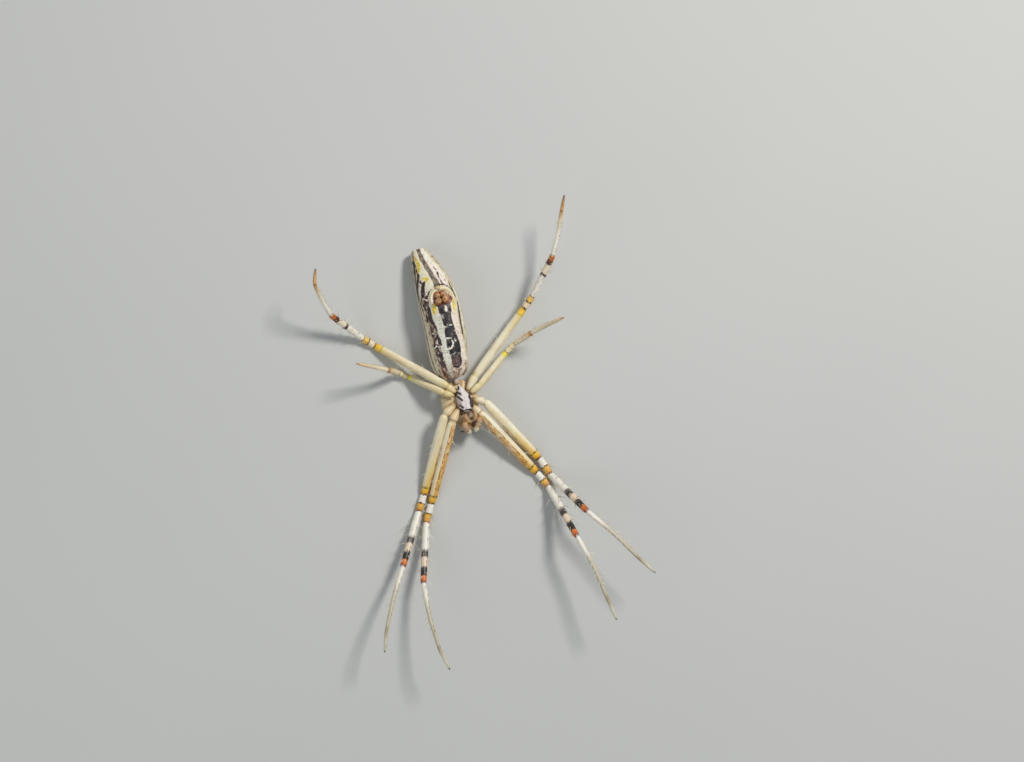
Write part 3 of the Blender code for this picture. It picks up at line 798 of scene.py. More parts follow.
# marks on the belly: lines of (along, across, half width), in millimetres
marks = {
    "dark": (((11.6, -1, 0.1), (11.3, -1.2, 0.14), (10.65, -1.45, 0.15), (10, -1.85, 0.12),
        (9.2, -2.3, 0.08)), ((10.34, -1.15, 0.08), (9.63, -1.68, 0.13), (9.03, -2.24, 0.13),
        (8.49, -2.4, 0.1), (8, -2.57, 0.08)), ((9.43, -0.95, 0.05), (9.05, -1.32, 0.15),
        (8.55, -1.61, 0.19), (8.08, -1.83, 0.15)), ((7.92, -2.13, 0.12), (7.42, -2.44, 0.1),
        (6.79, -2.34, 0.08)), ((7.45, -1.79, 0.1), (7.28, -2.02, 0.19), (6.9, -1.95, 0.12)),
        ((8.55, -0.58, 0.05), (8.32, -0.99, 0.08), (7.99, -1.34, 0.1), (7.6, -1.45, 0.06)),
        ((6.8, -1.5, 0.12), (6.56, -1.55, 0.18), (6.02, -1.58, 0.16), (5.41, -1.38, 0.13),
        (4.69, -1.17, 0.1)), ((6.4, -2.04, 0.1), (6, -2.02, 0.14), (5.7, -2.05, 0.06)),
        ((8.84, 1.41, 0.05), (8.24, 1.46, 0.11), (7.6, 1.56, 0.15), (7.3, 1.68, 0.08)),
        ((6.9, 1.75, 0.06), (6.63, 1.64, 0.12), (6.09, 1.6, 0.1), (5.4, 1.52, 0.12),
        (4.6, 1.42, 0.1), (3.86, 1.38, 0.1), (3.3, 1.5, 0.05)),
        ((2.95, 1.7, 0.05), (2.5, 1.9, 0.08)), ((1.3, 1.7, 0.06), (0.7, 1.65, 0.07)),
        ((10.53, 0.63, 0.03), (9.94, 0.67, 0.06), (9.24, 0.5, 0.05), (8.75, 0.58, 0.07)),
        ((9.1, 1, 0.05), (9.05, 1.08, 0.05)), ((8.74, -0.3, 0.06), (8.78, 0.3, 0.13),
        (8.6, 0.8, 0.06), (8.25, 1.22, 0.05)), ((4.97, -1.72, 0.1), (4.39, -1.76, 0.1)),
        ((4.25, -1.28, 0.07), (3.75, -1.24, 0.17), (3.35, -1.2, 0.1)), ((4.02, -1.67, 0.08),
        (3.61, -1.88, 0.08), (3.16, -1.95, 0.1)), ((3.08, -1.62, 0.13), (2.64, -1.7, 0.22),
        (2.35, -1.5, 0.17)), ((2.3, -1.44, 0.18), (1.85, -1.45, 0.12)),
        ((1.54, -1.68, 0.06), (1.5, -1.3, 0.06)), ((6.95, -0.5, 0.16), (6.3, -0.42, 0.16)),
        ((6.85, 0.52, 0.18), (6.2, 0.5, 0.16)),
        ((3.12, 0.36, 0.05), (2.72, 0.58, 0.1), (2.25, 0.62, 0.08))),
    "pale": (((6.95, -1.12, 0.1), (7.39, -1.1, 0.18), (7.92, -0.96, 0.2), (8.25, -0.64, 0.22),
        (8.42, -0.21, 0.24), (8.42, 0.31, 0.24), (8.22, 0.74, 0.22), (7.85, 1, 0.2),
        (7.46, 1.16, 0.18), (7.06, 1.25, 0.12)), ((0.9, -2.3, 0.16), (2.08, -2.5, 0.2),
        (3.22, -2.5, 0.24), (4.36, -2.42, 0.22), (5.25, -2.5, 0.2), (5.97, -2.7, 0.18),
        (7.9, -2.75, 0.08)), ((9.3, -1.5, 0.07), (8.74, -1.93, 0.1), (8.22, -2.21, 0.09),
        (7.6, -2.3, 0.04)), ((7.98, -1.88, 0.05), (7.73, -1.55, 0.09), (7.55, -1.22, 0.08)),
        ((8.9, -0.82, 0.1), (8.53, -1.13, 0.12), (8.21, -1.42, 0.08)), ((3.17, -2.03, 0.04),
        (3.32, -1.68, 0.06), (3.19, -1.38, 0.06)), ((3.94, -1.4, 0.04), (3.58, -1.53, 0.06)),
        ((4.57, -1.78, 0.06), (4.4, -1.4, 0.05)), ((4.96, -0.09, 0.02), (4.87, 0.13, 0.04),
        (4.88, 0.35, 0.02)), ((4.87, -0.41, 0.04), (4.73, -0.1, 0.03)),
        ((3.8, -0.5, 0.06), (3.7, -0.1, 0.05)), ((3.6, -0.1, 0.04), (3.16, -0.01, 0.07),
        (2.8, -0.3, 0.09), (2.77, -0.6, 0.08)), ((3.52, 0.22, 0.06), (3.38, 0.28, 0.07)),
        ((6.75, 0.1, 0.05), (6.3, 0.1, 0.12)), ((2.2, -0.49, 0), (2.3, 0.15, 0),
        (1.87, 0.67, 0.02), (1.5, 1.26, 0.03)), ((1.7, 0.8, 0.1), (1.5, 1.3, 0.16)),
        ((2.7, -1.66, 0.03), (2.6, -1.72, 0.03)), ((8.2, 1.85, 0.1), (6.95, 1.95, 0.12),
        (6.43, 2.05, 0.13), (5.72, 2.04, 0.13), (4.61, 1.78, 0.12), (3.4, 1.85, 0.08)),
        ((12.2, 0.35, 0.2), (11.4, 0.62, 0.24), (10.6, 1, 0.22), (9.6, 1.25, 0.18))),
    "yellow": (((11.9, -0.63, 0.13), (11.23, -0.61, 0.18), (10.74, -0.81, 0.15),
        (10.4, -1.1, 0.08)), ((9.74, -0.95, 0.1), (9.67, -0.55, 0.16), (9.39, -0.8, 0.1)),
        ((7.04, -0.94, 0.19), (6.62, -0.97, 0.28), (6.2, -1.06, 0.1)),
        ((6.98, 1.06, 0.15), (6.5, 1.04, 0.2), (6.12, 1.02, 0.1))),
    "rust": (((7.3, -0.4, 0.5), (7.5, 0.06, 0.66), (7.3, 0.5, 0.5)), ((1.3, -1.6, 0.08),
        (1.01, -1.61, 0.17), (0.64, -1.47, 0.18), (0.29, -1.19, 0.1)),
        ((0.6, 1, 0.06), (0.19, 0.6, 0.14)), ((1.2, -2, 0.08), (0.8, -1.85, 0.1))),
    "ring": (((1.5, -0.42, 0.09), (1.95, -0.27, 0.09), (2.14, 0.02, 0.09), (1.95, 0.28, 0.09),
        (1.5, 0.4, 0.1), (1.1, 0.22, 0.1), (0.93, -0.08, 0.1), (1.1, -0.33, 0.1),
        (1.5, -0.42, 0.09)),),
    # on the breast plate: rearward from its middle, then to the right
    "notches": (((1.25, -0.1, 0.05), (1, -0.2, 0.07)), ((0.76, -0.38, 0.07), (0.47, -0.2, 0.08)),
        ((0.36, -0.5, 0.08), (-0.07, -0.32, 0.09)), ((-0.38, -0.66, 0.07), (-0.7, -0.46, 0.08)),
        ((-0.8, -0.72, 0.1), (-1.02, -0.5, 0.1)), ((-1, -0.32, 0.05), (-1.14, 0.24, 0.07)),
        ((0.9, 0.5, 0.07), (0.3, 0.63, 0.17), (-0.23, 0.56, 0.2), (-0.85, 0.42, 0.2)),
        ((0.05, 0.36, 0.02), (-0.1, 0.44, 0.1)), ((-0.45, 0.3, 0.02), (-0.62, 0.36, 0.1))),
    "softness": 0.13,
}


def markAt(kind, along, across):
    # how deep a point lies inside the marks of a kind: half on their edge, one well inside
    best = 0.0
    point = Vector((along, across))
    for line in marks[kind]:
        for first, second in zip(line, line[1:]):
            if min(first[0], second[0]) - 1.0 < along < max(first[0], second[0]) + 1.0:
                start = Vector(first[:2])
                step = Vector(second[:2]) - start
                share = limited((point - start).dot(step) / step.length_squared)
                gap = (point - start - step * share).length
                width = first[2] + (second[2] - first[2]) * share
                best = max(best, 0.5 + (width - gap) / (2 * marks["softness"]))
    return min(1.0, best)


def ovalAt(shape, along, across):
    # 0 in the middle of a shape of the abdomen, 1 on its rim
    return math.hypot((across - shape["aside"]) / shape["width"],
                      (along - shape["behind"]) / shape["length"])


class Body:
    # the abdomen felt ring by ring with rays from inside, and the pattern drawn round it
    def __init__(self):
        margin, eased = abdomen["margin"], abdomen["eased"]
        self.front = boxOf("abdomen")[0].y
        length = boxOf("tail")[1].y - self.front
        slit = (boxOf("abdomen")[1].y - margin, boxOf("tail")[0].y + margin)
        self.tree = insideOf("abdomen", "tail")
        self.shift = middleOf("pedicel").x
        low, high = boxOf("pedicel")
        x, z = low.x / 2 + high.x / 2, high.z
        self.rings = []
        for row in range(abdomen["rows"]):
            # rows stand closer together at the blunt ends
            share = row / (abdomen["rows"] - 1)
            share = share * (1 - eased) + (0.5 - 0.5 * math.cos(math.pi * share)) * eased
            y = self.front + margin + (length - 2 * margin) * share
            # a ray in the slit between the solids would miss both, so it starts beside it
            clear = y
            if slit[0] < y < slit[1]:
                clear = min(slit, key=lambda edge: abs(y - edge))
            if not self.rings or round(clear, 4) != round(self.rings[-1][1].y, 4):
                for _ in range(2):
                    z += self.gap((x, clear, z), (0, 0, 1)) / 2
                    x += self.gap((x, clear, z), (1, 0, 0)) / 2
                middle = Vector((x, clear, z))
            self.rings.append((y, middle))

    def reach(self, origin, direction):
        hit = self.tree.ray_cast(origin, direction)
        return hit[3] if hit[3] is not None else 0.0

    def gap(self, origin, direction):
        # how much further the wall is ahead than behind
        origin, direction = Vector(origin), Vector(direction)
        return self.reach(origin, direction) - self.reach(origin, -direction)

    def patternAt(self, y, middle, turn, radius):
        # signed belt number: 1 ends the median belt, 2 the pale stripe and so on to 8 on the back
        along = y - self.front
        line = self.shift + abdomen["offset"] + between(abdomen["midline"], along)
        twist = math.asin(limited((line - middle.x) / max(radius, 0.4), -1.0))
        angle = (turn - twist + math.pi) % math.tau - math.pi
        arc = abs(angle) * radius
        half = math.pi * radius
        edges = [0.0] + [between(belt, along) for belt in abdomen["belts"]]
        squeeze = min(1.0, half * 0.8 / edges[-1])
        edges = [edge * squeeze for edge in edges] + [half]
        steps = (0, 1, 2, 3, 4, 8)
        place = 8.0
        for number in range(5):
            if arc <= edges[number + 1]:
                share = (arc - edges[number]) / (edges[number + 1] - edges[number])
                place = steps[number] + share * (steps[number + 1] - steps[number])
                break
        return Vector((math.copysign(place, angle), along, arc * math.copysign(1, angle)))

    def relief(self, along, across):
        # the bowed fold, the plates over the lungs, and pairs of pits
        fold, lung, pits, plate, hollow = (
            abdomen[name] for name in ("fold", "lung", "pits", "plate", "hollow"))
        aside = abs(across)
        bow = fold["behind"] - fold["bow"] * math.cos(min(1.0, aside / fold["turn"]) * math.pi)
        height = -fold["depth"] * hump(along - bow, fold["width"]) * (aside < fold["end"])
        height += lung["height"] * math.exp(-0.8 * ovalAt(lung, along, aside) ** 4)
        for number in range(pits["count"]):
            height -= (pits["depth"] * hump(aside - pits["aside"], pits["width"])
                       * hump(along - pits["behind"] - number * pits["apart"], pits["length"]))
        # the hollow of the spinnerets with a rim behind, and the rim of the small plate
        ring = ovalAt(hollow, along, across)
        growth = limited((along - hollow["rimStart"]) / hollow["rimGrowth"])
        height += hollow["rim"] * growth * hump(ring - 1.0, hollow["softness"])
        height -= hollow["depth"] * math.exp(-(ring / hollow["inner"]) ** 4)
        return height + plate["rim"] * hump(ovalAt(plate, along, across) - 1.0,
                                            plate["softness"])

    def spot(self, row, turn):
        last = len(self.rings) - 1
        y, middle = self.rings[row]
        direction = Vector((math.sin(turn), 0, math.cos(turn)))
        reach = self.reach(middle, direction)
        pattern = self.patternAt(y, middle, turn, max(0.1, reach))
        point = Vector((middle.x, y, middle.z))
        if row not in (0, last):
            fade = min(1.0, row / abdomen["fade"], (last - row) / abdomen["fade"])
            point += direction * (reach - abdomen["inset"]
                                  + self.relief(pattern.y, pattern.z) * fade)
            point.z = max(point.z, 0.0)
        return point, pattern


def abdomenLook():
    look = Look("belly skin", (0.08, 0.3), (0.05, 0.15))
    place, along, across = look.attribute("pattern")
    dark, pale, yellow = look.attribute("marks")
    rustMark, ring, ringInside = look.attribute("plates")
    wave = look.noise(1.6, 3, look.stretched(1, 0.7, 1)) - 0.5
    fineWave = look.noise(5, 3) - 0.5
    belt = abs(place) + wave * 0.36 + fineWave * 0.2
    cell = look.noise(2.2, 4, look.stretched(1.4, 1, 1.4))
    small = look.noise(7, 3)
    onRight = look.rise(place, -0.05, 0.05)
    leftStripe = look.band(across + wave * 0.5, -1.35, -0.55, 0.12)
    front = (1 - look.rise(along + wave * 0.8, 0.9, 1.7)) * (1 - leftStripe * 0.5)
    tail = look.rise(along + wave * 0.5, 8.55, 8.95)

    def marked(value, ragged=1.0):
        return look.rise(value + (wave * 0.8 + fineWave * 1.3) * ragged, 0.4, 0.6)

    # the dark middle belt, mottled blue grey and brown, grey brown on the tail
    middle = look.ramp(look.rise(cell, 0.4, 0.68), (0.0, "0e0e14"),
                       (0.4, "1e1e28"), (0.62, "423432"),
                       (0.85, "7a6860"), (1.0, "a8a09e"))
    middle = look.mix(middle, look.blend("605448", "968a78", cell, 0.42, 0.6),
                      tail)
    # the two pale stripes, yellowish left and pinkish right on the tail
    clean = look.mix("ece8da", "f2e6d6", onRight)
    worn = look.mix("b8b6a6", "c8b29e", onRight)
    stripe = look.blend(clean, worn, small + wave * 0.5 + fineWave * 0.4, 0.46, 0.72)
    tailSide = look.mix("f6f0d6", "f4e6de", onRight)
    stripe = look.mix(stripe, look.blend(tailSide, "cebe96", small, 0.48, 0.72), tail)
    # brown belt with tan and purple clouds, on the left; cream on the right
    brown = look.ramp(look.rise(cell + fineWave * 0.3, 0.34, 0.66), (0.0, "22161a"),
                      (0.35, "523836"), (0.6, "866858"),
                      (1.0, "cebca2"))
    rightCream = look.blend("e2d6b8", "b0a284", small, 0.42, 0.66)
    tan = look.ramp(look.rise(cell + fineWave * 0.8, 0.3, 0.72), (0.0, "785444"),
                    (0.3, "ac8a74"), (0.6, "d4bea2"),
                    (1.0, "e8dcc8"))
    tan = look.mix(tan, "e4d8cc", onRight * look.rise(cell, 0.36, 0.56) * 0.75)
    edge = look.blend("ded0b2", "a08a6c", cell, 0.45, 0.6)
    look.colour = look.blend(middle, stripe, belt, 0.93, 1.07)
    look.paint(look.mix(brown, rightCream, onRight), look.rise(belt, 1.95, 2.08))
    look.paint(tan, front)
    look.paint(edge, look.rise(belt, 2.9, 3.1))
    # marks: rust under the spinnerets and at the front, then dark, pale and yellow ones
    rusty = look.blend("a86842", "46221a", cell + fineWave, 0.38, 0.58)
    pit = look.blend("b6704c", "623424", small, 0.42, 0.6)
    look.paint(look.blend(rusty, pit, along, 6.2, 6.6), marked(rustMark))
    look.paint(look.ramp(look.rise(small, 0.35, 0.68), (0.0, "120e12"),
                         (0.55, "322024"), (1.0, "684642")), marked(dark))
    look.paint("7a666a", look.rise(ringInside, 0.4, 0.6))
    look.paint("34242c", marked(ring, 0.5))
    paleTone = look.blend("f4f0e0", "cec6b2", small, 0.46, 0.7)
    paleTone = look.blend("ded0b6", paleTone, across, -2.3, -1.9)
    paleTone = look.mix(paleTone, "eacabe", look.band(across, -1.75, -0.95, 0.1)
                        * look.band(along, 7.4, 9.0, 0.2) * 0.7)
    paleTone = look.mix(paleTone, "f0e2b2", look.band(across, -1.1, 1.4, 0.1)
                        * look.band(along, 6.9, 8.8, 0.2) * look.rise(cell, 0.3, 0.6))
    look.paint(paleTone, marked(pale, 0.7))
    gold = look.blend("f2dc5c", "caa434", small + wave * 0.3, 0.4, 0.66)
    gold = look.mix(gold, "f0e8b0", look.rise(cell, 0.5, 0.66) * 0.7)
    look.paint(gold, marked(yellow, 0.6))
    # the silvery back with its thin lines
    line = "3e2e24"
    look.paint(line, look.band(belt, 3.98, 4.18, 0.07))
    look.paint(look.blend("e0d8c6", "beb298", small, 0.42, 0.68),
               look.rise(belt, 4.2, 4.34))
    for start in (4.95, 5.75, 6.6, 7.8):
        look.paint(line, look.band(belt, start, start + 0.12, 0.06) * 0.8)
    return look.finish(0.36 + 0.2 * small, small + look.noise(16, 2) * 0.5, 0.03)


def buildAbdomen():
    def marksAt(place):
        return Vector([markAt(kind, place.y, place.z) for kind in ("dark", "pale", "yellow")])

    def platesAt(place):
        return Vector((markAt("rust", place.y, place.z), markAt("ring", place.y, place.z),
                       limited(3 - 3 * ovalAt(abdomen["plate"], place.y, place.z))))

    bm = wrappedSkin(abdomen["rows"], abdomen["around"], Body().spot, 0.002,
                     (("marks", marksAt), ("plates", platesAt)))
    hairs = furOn(bm, abdomen, rearward, rearward)
    makePiece(bm, "abdomen_skin", abdomenLook(), "belly", ("abdomen", "tail"))
    look = hairLook("belly hairs", "cec0a0", "f0ead8")
    plantAll("abdomen_hairs", look, "belly", hairs)


# the fore body

class ForeBody:
    # its own axes, read off the solids: X to the spider's right, Y rearward, Z out of the belly
    def __init__(self):
        left, right = ([middleOf(f"leg{pair}_{side}_coxa") for pair in (1, 4)]
                       for side in ("left", "right"))
        across = (right[0] + right[1] - left[0] - left[1]).normalized()
        along = (left[1] + right[1] - left[0] - right[0]).normalized()
        z = across.cross(along).normalized()
        x = flattened((middleOf("endite_right") - middleOf("endite_left")).normalized(), z)
        self.matrix = axesMatrix(x, z.cross(x), z, middleOf("sternum") - z * 0.12)
        self.inverse = self.matrix.inverted()
        self.turn = self.matrix.to_3x3()

    def aim(self, *parts):
        return self.turn @ Vector(parts)

    def skin(self, node, centre, rows, around, relief, softness, layers=()):
        # a closed skin felt with rays from a point inside a solid, poles to head and rear
        tree = insideOf(node)
        inside = self.matrix @ Vector(centre)

        def spot(row, turn):
            polar = math.pi * row / (rows - 1)
            ray = self.aim(math.sin(polar) * math.sin(turn), -math.cos(polar),
                           math.sin(polar) * math.cos(turn))
            hit = tree.ray_cast(inside, ray)[0]
            place = self.inverse @ hit
            return hit + ray * relief(place), place

        bm = wrappedSkin(rows, around, spot, layers=layers)
        for _ in range(softness):
            bmesh.ops.smooth_vert(bm, verts=bm.verts, factor=0.5, use_axis_x=True,
                                  use_axis_y=True, use_axis_z=True)
        bm.normal_update()
        return bm


carapace = {"rows": 110, "around": 120, "membrane": 0.42, "groove": 0.07, "hairs": 900,
            "hairLength": (0.12, 0.26), "hairThickness": 0.012, "lift": (0.4, 0.8)}
sternum = {"rows": 90, "around": 110, "hairs": 160, "hairLength": (0.1, 0.2),
           "hairThickness": 0.011, "lift": 0.6}
endite = {"rows": 34, "around": 36, "hairs": 90, "hairLength": (0.1, 0.17),
          "hairThickness": 0.012, "lift": 1.0}
palp = {
    "around": 20,
    "shares": (0.0, 0.2, 0.42, 0.62, 1.0),      # upper joints, knee, shin, foot
    "fullness": ((0, 0.8), (0.1, 0.97), (0.9, 1), (1, 0.93), (1.1, 0.98), (1.9, 0.99), (2, 0.93),
        (2.1, 0.98), (2.9, 0.99), (3, 0.94), (3.1, 1), (3.6, 1.04), (3.9, 1), (4, 0.92)),
    # how many, their length and thickness
    "spines": (16, (0.2, 0.36), 0.03),
    "hairs": (130, (0.08, 0.16), 0.011),
}
jaw = {"around": 24, "fullness": ((0, 0.95), (0.15, 1.03), (0.8, 1), (1, 0.9)),
       "fang": (0.46, 0.12)}
waist = {"around": 24, "fullness": ((0, 0.9), (0.12, 1), (0.2, 0.9), (0.35, 1), (0.45, 0.88),
                                    (0.6, 1), (0.7, 0.9), (0.85, 1), (1, 0.95))}


def carapaceRelief(place):
    x, y, z = place
    if z > -0.9:
        # soft skin between the legs fills the ring round the breast plate
        reach = math.hypot(x / 1.55, (y + 0.1) / 1.55)
        swelling = 0.08 * math.cos(math.atan2(y + 0.1, abs(x)) * 6 + 0.6)
        return (carapace["membrane"] + swelling * min(1.0, reach)) * math.exp(-reach ** 6)
    # the neck furrow, furrows that fan out from the pit in the middle, and the pit
    height = -carapace["groove"] * hump(y + 1.0 - abs(x) * 0.75, 0.12) * (1 - hump(x, 0.2))
    angle = math.atan2(abs(x), y - 0.1)
    reach = math.hypot(x, y - 0.1)
    for aim in (0.45, 1.0, 1.5, 2.05):
        height -= 0.035 * hump((angle - aim) * max(reach, 0.2), 0.09) * min(1.0, reach)
    return height - 0.12 * hump(x, 0.08) * hump(y - 0.1, 0.22)


def sternumRelief(place):
    # a low keel, and a swelling beside each leg
    height = 0.03 * hump(place.x, 0.16)
    for aim in (-0.85, -0.3, 0.28, 0.85):
        height += 0.06 * hump(place.y - aim, 0.16) * hump(abs(place.x) - 0.5, 0.22)
    return height


def foreLook(name, pale, dark, speckle=0.5):
    look = Look(name, (0.1, 0.3), (0.06, 0.1))
    fine = look.noise(8, 3)
    look.colour = look.mix(pale, dark, look.rise(look.noise(1.8, 4), 0.4, 0.72) * speckle)
    look.paint(dark, look.rise(fine, 0.58, 0.72) * speckle)
    return look.finish(0.3 + 0.3 * fine, fine + look.noise(18, 2) * 0.4)


def carapaceLook():
    look = Look("carapace skin", (0.05, 0.03))
    x, y, z = look.attribute("pattern")
    broad = look.noise(1.2, 4)
    fine = look.noise(9, 3)
    look.colour = look.blend("d6c4ac", "967860", broad, 0.42, 0.66)
    # silver hair covers the back, darker streaks run out to the sides
    streaks = look.noise(1.4, 2, look.join(look.math("ARCTAN2", x, y) * 3))
    look.paint("604c3e", look.rise(streaks, 0.55, 0.68) * look.rise(abs(x), 0.3, 0.9) * 0.6)
    look.paint("e2ded4", look.rise(fine, 0.5, 0.62) * 0.6)
    soft = look.blend("ecd4aa", "ba986c", streaks, 0.42, 0.6)
    soft = look.blend(soft, "78583e", broad + fine * 0.3, 0.68, 0.8)
    look.paint(soft, look.rise(z, -1.2, -0.95))
    return look.finish(0.4 + 0.25 * fine, fine + look.noise(20, 2) * 0.5, 0.03)


def sternumLook():
    look = Look("sternum skin", (0.12, 0.25))
    x, y, _ = look.attribute("pattern")
    notch = look.attribute("marks")[0]
    wobble = look.noise(3.2, 3) - 0.5
    fine = look.noise(10, 3)
    # a pale middle belt between dark notches on the left and a dark margin on the right
    away = 0 - (x - y * 0.15 + wobble * 0.2)
    pale = look.blend("f0e8e4", "cec0c0", fine, 0.42, 0.68)
    flank = look.blend("d8c6c0", "9e8680", fine, 0.4, 0.62)
    look.colour = look.blend(pale, flank, away, 0.32, 0.45)
    look.paint("ceb084", look.rise(0 - away, 0.66, 0.76))
    look.paint(look.blend("1e161a", "4e3a38", fine, 0.5, 0.7),
               look.rise(notch + wobble * 0.5, 0.42, 0.58))
    return look.finish(0.3 + 0.25 * fine, fine + look.noise(22, 2) * 0.4)


def palpLook():
    look = Look("palp skin", (0.12, 0.25))
    place = look.attribute("pattern")[0]
    wobble = look.noise(4, 2) - 0.5
    look.colour = look.ramp(
        (place + wobble * 0.2) / 4,
        (0.0, "c4945c"), (0.23, "cca06c"), (0.25, "a67c54"),
        (0.27, "ceac82"), (0.48, "c4a27a"), (0.5, "a07c5c"),
        (0.52, "c8aa84"), (0.73, "ba9c78"), (0.75, "967658"),
        (0.78, "bea482"), (0.88, "ded0ac"), (1.0, "f4f0d6"))
    speck = look.noise(7, 3)
    look.paint("5c4232", look.rise(speck, 0.52, 0.62)
               * (1 - look.rise(place, 3.2, 3.7)) * 0.75)
    return look.finish(0.3 + 0.3 * speck, speck + look.noise(20, 2) * 0.4, 0.018)


def buildMouth(fore, hairTone, spineTone):
    tan = foreLook("mouthparts skin", "cea06c", "764e32")
    brown = foreLook("jaw skin", "967050", "4e3426")
    lipTone = foreLook("lip skin", "d0b89c", "604436", 0.9)
    fangTone = hairLook("fangs", "1e100c", "461e14", 0.2)
    skinOfPalp = palpLook()
    spines = []
    hairs = []
    fangs = []
    low, high = (fore.inverse @ point for point in boxOf("labium"))
    bm = fore.skin("labium", (low + high) / 2, 30, 32, lambda place: 0.02 * hump(place.x, 0.12), 2)
    makePiece(bm, "labium_skin", lipTone, "sternum", ("labium",))
    for side, sign in sides.items():
        node = f"endite_{side}"
        bm = fore.skin(node, fore.inverse @ middleOf(node), endite["rows"], endite["around"],
                       lambda place: 0.0, 2)
        inner = fore.aim(-sign, 0, 0)
        hairs += furOn(bm, endite, fore.aim(-sign * 0.4, -0.7, 0.2), fore.aim(0, -1, 0),
                       lambda face: face.normal.dot(inner) > 0.35)
        makePiece(bm, f"{node}_skin", tan, "mouth", (node,))
        node = f"chelicera_{side}"
        limb = Limb([node], fore.matrix @ Vector((sign * 0.4, -2.2, -1.0)), sign,
                    jaw["fullness"], (0, 1), 0.05)
        makePiece(limb.skin(jaw["around"]), f"{node}_skin", brown, "mouth", (node,))
        plant(fangs, limb.centres[-1] - limb.tangents[-1] * 0.03,
              fore.aim(-sign * 0.25, 0.9, 0.35), *jaw["fang"], fore.aim(-sign * 0.5, 0, -1),
              (0.5, 0.5))
        node = f"palp_{side}"
        limb = Limb([node], fore.matrix @ Vector((sign * 0.6, -1.7, 0.3)), sign,
                    palp["fullness"], palp["shares"], 0.05)
        makePiece(limb.skin(palp["around"]), f"{node}_skin", skinOfPalp, "mouth", (node,))
        for plants, kind in ((spines, "spines"), (hairs, "hairs")):
            count, length, thickness = palp[kind]
            for _ in range(count):
                limb.plant(plants, chance.uniform(0.6, 3.9), chance.uniform(0, math.tau),
                           chance.uniform(*length), thickness, 0.015, chance.uniform(0.5, 0.9))
    plantAll("mouth_spines", spineTone, "mouth", spines)
    plantAll("mouth_hairs", hairTone, "mouth", hairs)
    plantAll("fangs", fangTone, "mouth", fangs)


def domeOf(node):
    # middle and normal of the flat base of a small domed solid, its radius and its height
    shape = nodeShape(node)
    base = max(shape.faces, key=lambda face: face.calc_area())
    flat = {face for face in shape.faces if face.normal.dot(base.normal) > 0.999}
    corners = [vertex for vertex in shape.verts if not flat.isdisjoint(vertex.link_faces)]
    middle = meanOf(vertex.co for vertex in corners)
    upward = -base.normal
    radius = max((vertex.co - middle).length for vertex in corners)
    height = max((vertex.co - middle).dot(upward) for vertex in shape.verts)
    shape.free()
    return middle, upward, radius, height


def spunOn(place, radius, height, profile, steps):
    # a profile in shares of a dome's radius and height, spun and set in place
    bm = turned([(distance * radius, rise * height) for distance, rise in profile], steps)
    pattern = bm.verts.layers.float_vector.new("pattern")
    for vertex in bm.verts:
        vertex[pattern] = vertex.co / height
    bmesh.ops.transform(bm, matrix=place, verts=bm.verts)
    return bm


def buildEyes():
    glass = Look("eye glass", (1, 0.03))
    glass.shader.inputs["Specular IOR Level"].default_value = 0.7
    depth = glass.noise(6, 2)
    glass.colour = glass.blend("080606", "221610", depth, 0.4, 0.7)
    glass.finish(0.04 + 0.05 * depth)
    rims = bmesh.new()
    around = 28
    thick = 0.02
    for name in ("eye_front_middle", "eye_rear_middle", "eye_front_side", "eye_rear_side"):
        for side in sides:
            node = f"{name}_{side}"
            middle, upward, radius, _ = domeOf(node)
            place = axesAlong(middle, upward, Vector((0, 1, 0.2)))
            bm = bmesh.new()
            bmesh.ops.create_uvsphere(bm, u_segments=around, v_segments=18, radius=radius)
            bmesh.ops.transform(bm, matrix=place, verts=bm.verts)
            makePiece(bm, f"{node}_ball", glass.material, "eye", (node,))
            bm = turned([(radius * 1.05 + thick * math.cos(turn * math.tau / 10),
                          thick * math.sin(turn * math.tau / 10) - 0.01)
                         for turn in range(11)], around)
            bmesh.ops.transform(bm, matrix=place, verts=bm.verts)
            mesh = meshOf(bm, "rim")
            rims.from_mesh(mesh)
            bpy.data.meshes.remove(mesh)
    makePiece(rims, "eye_rims", foreLook("eye rims", "584030", "281c16"), "eye")


def buildForeBody():
    fore = ForeBody()
    ahead = fore.aim(0, -1, 0)
    hairTone = hairLook("fore body hairs", "c4baa8", "ece8de")
    spineTone = hairLook("palp spines", "6e543c", "c4aa82", 0.35)
    bm = fore.skin("carapace", (0, -0.4, -1.1), carapace["rows"], carapace["around"],
                   carapaceRelief, 5)
    hairs = furOn(bm, carapace, ahead, ahead)
    makePiece(bm, "carapace_skin", carapaceLook(), "shell", ("carapace",))
    plantAll("carapace_hairs", hairTone, "shell", hairs)
    bm = fore.skin("sternum", (0, -0.1, 0.12), sternum["rows"], sternum["around"],
                   sternumRelief, 3,
                   [("marks", lambda place: Vector((markAt("notches", place.y, place.x), 0, 0)))])
    hairs = furOn(bm, sternum, fore.aim(0, 1, 0), rearward, lambda face: face.normal.z > 0.2)
    makePiece(bm, "sternum_skin", sternumLook(), "sternum", ("sternum",))
    plantAll("sternum_hairs", hairTone, "sternum", hairs)
    buildMouth(fore, hairTone, spineTone)
    buildEyes()
    limb = Limb(["pedicel"], middleOf("sternum"), 1, waist["fullness"], (0, 1), 0.02)
    makePiece(limb.skin(waist["around"]), "pedicel_skin",
              foreLook("waist skin", "dacabc", "826a5a"), "mouth",
              ("pedicel",))


# spinnerets and plates on the belly

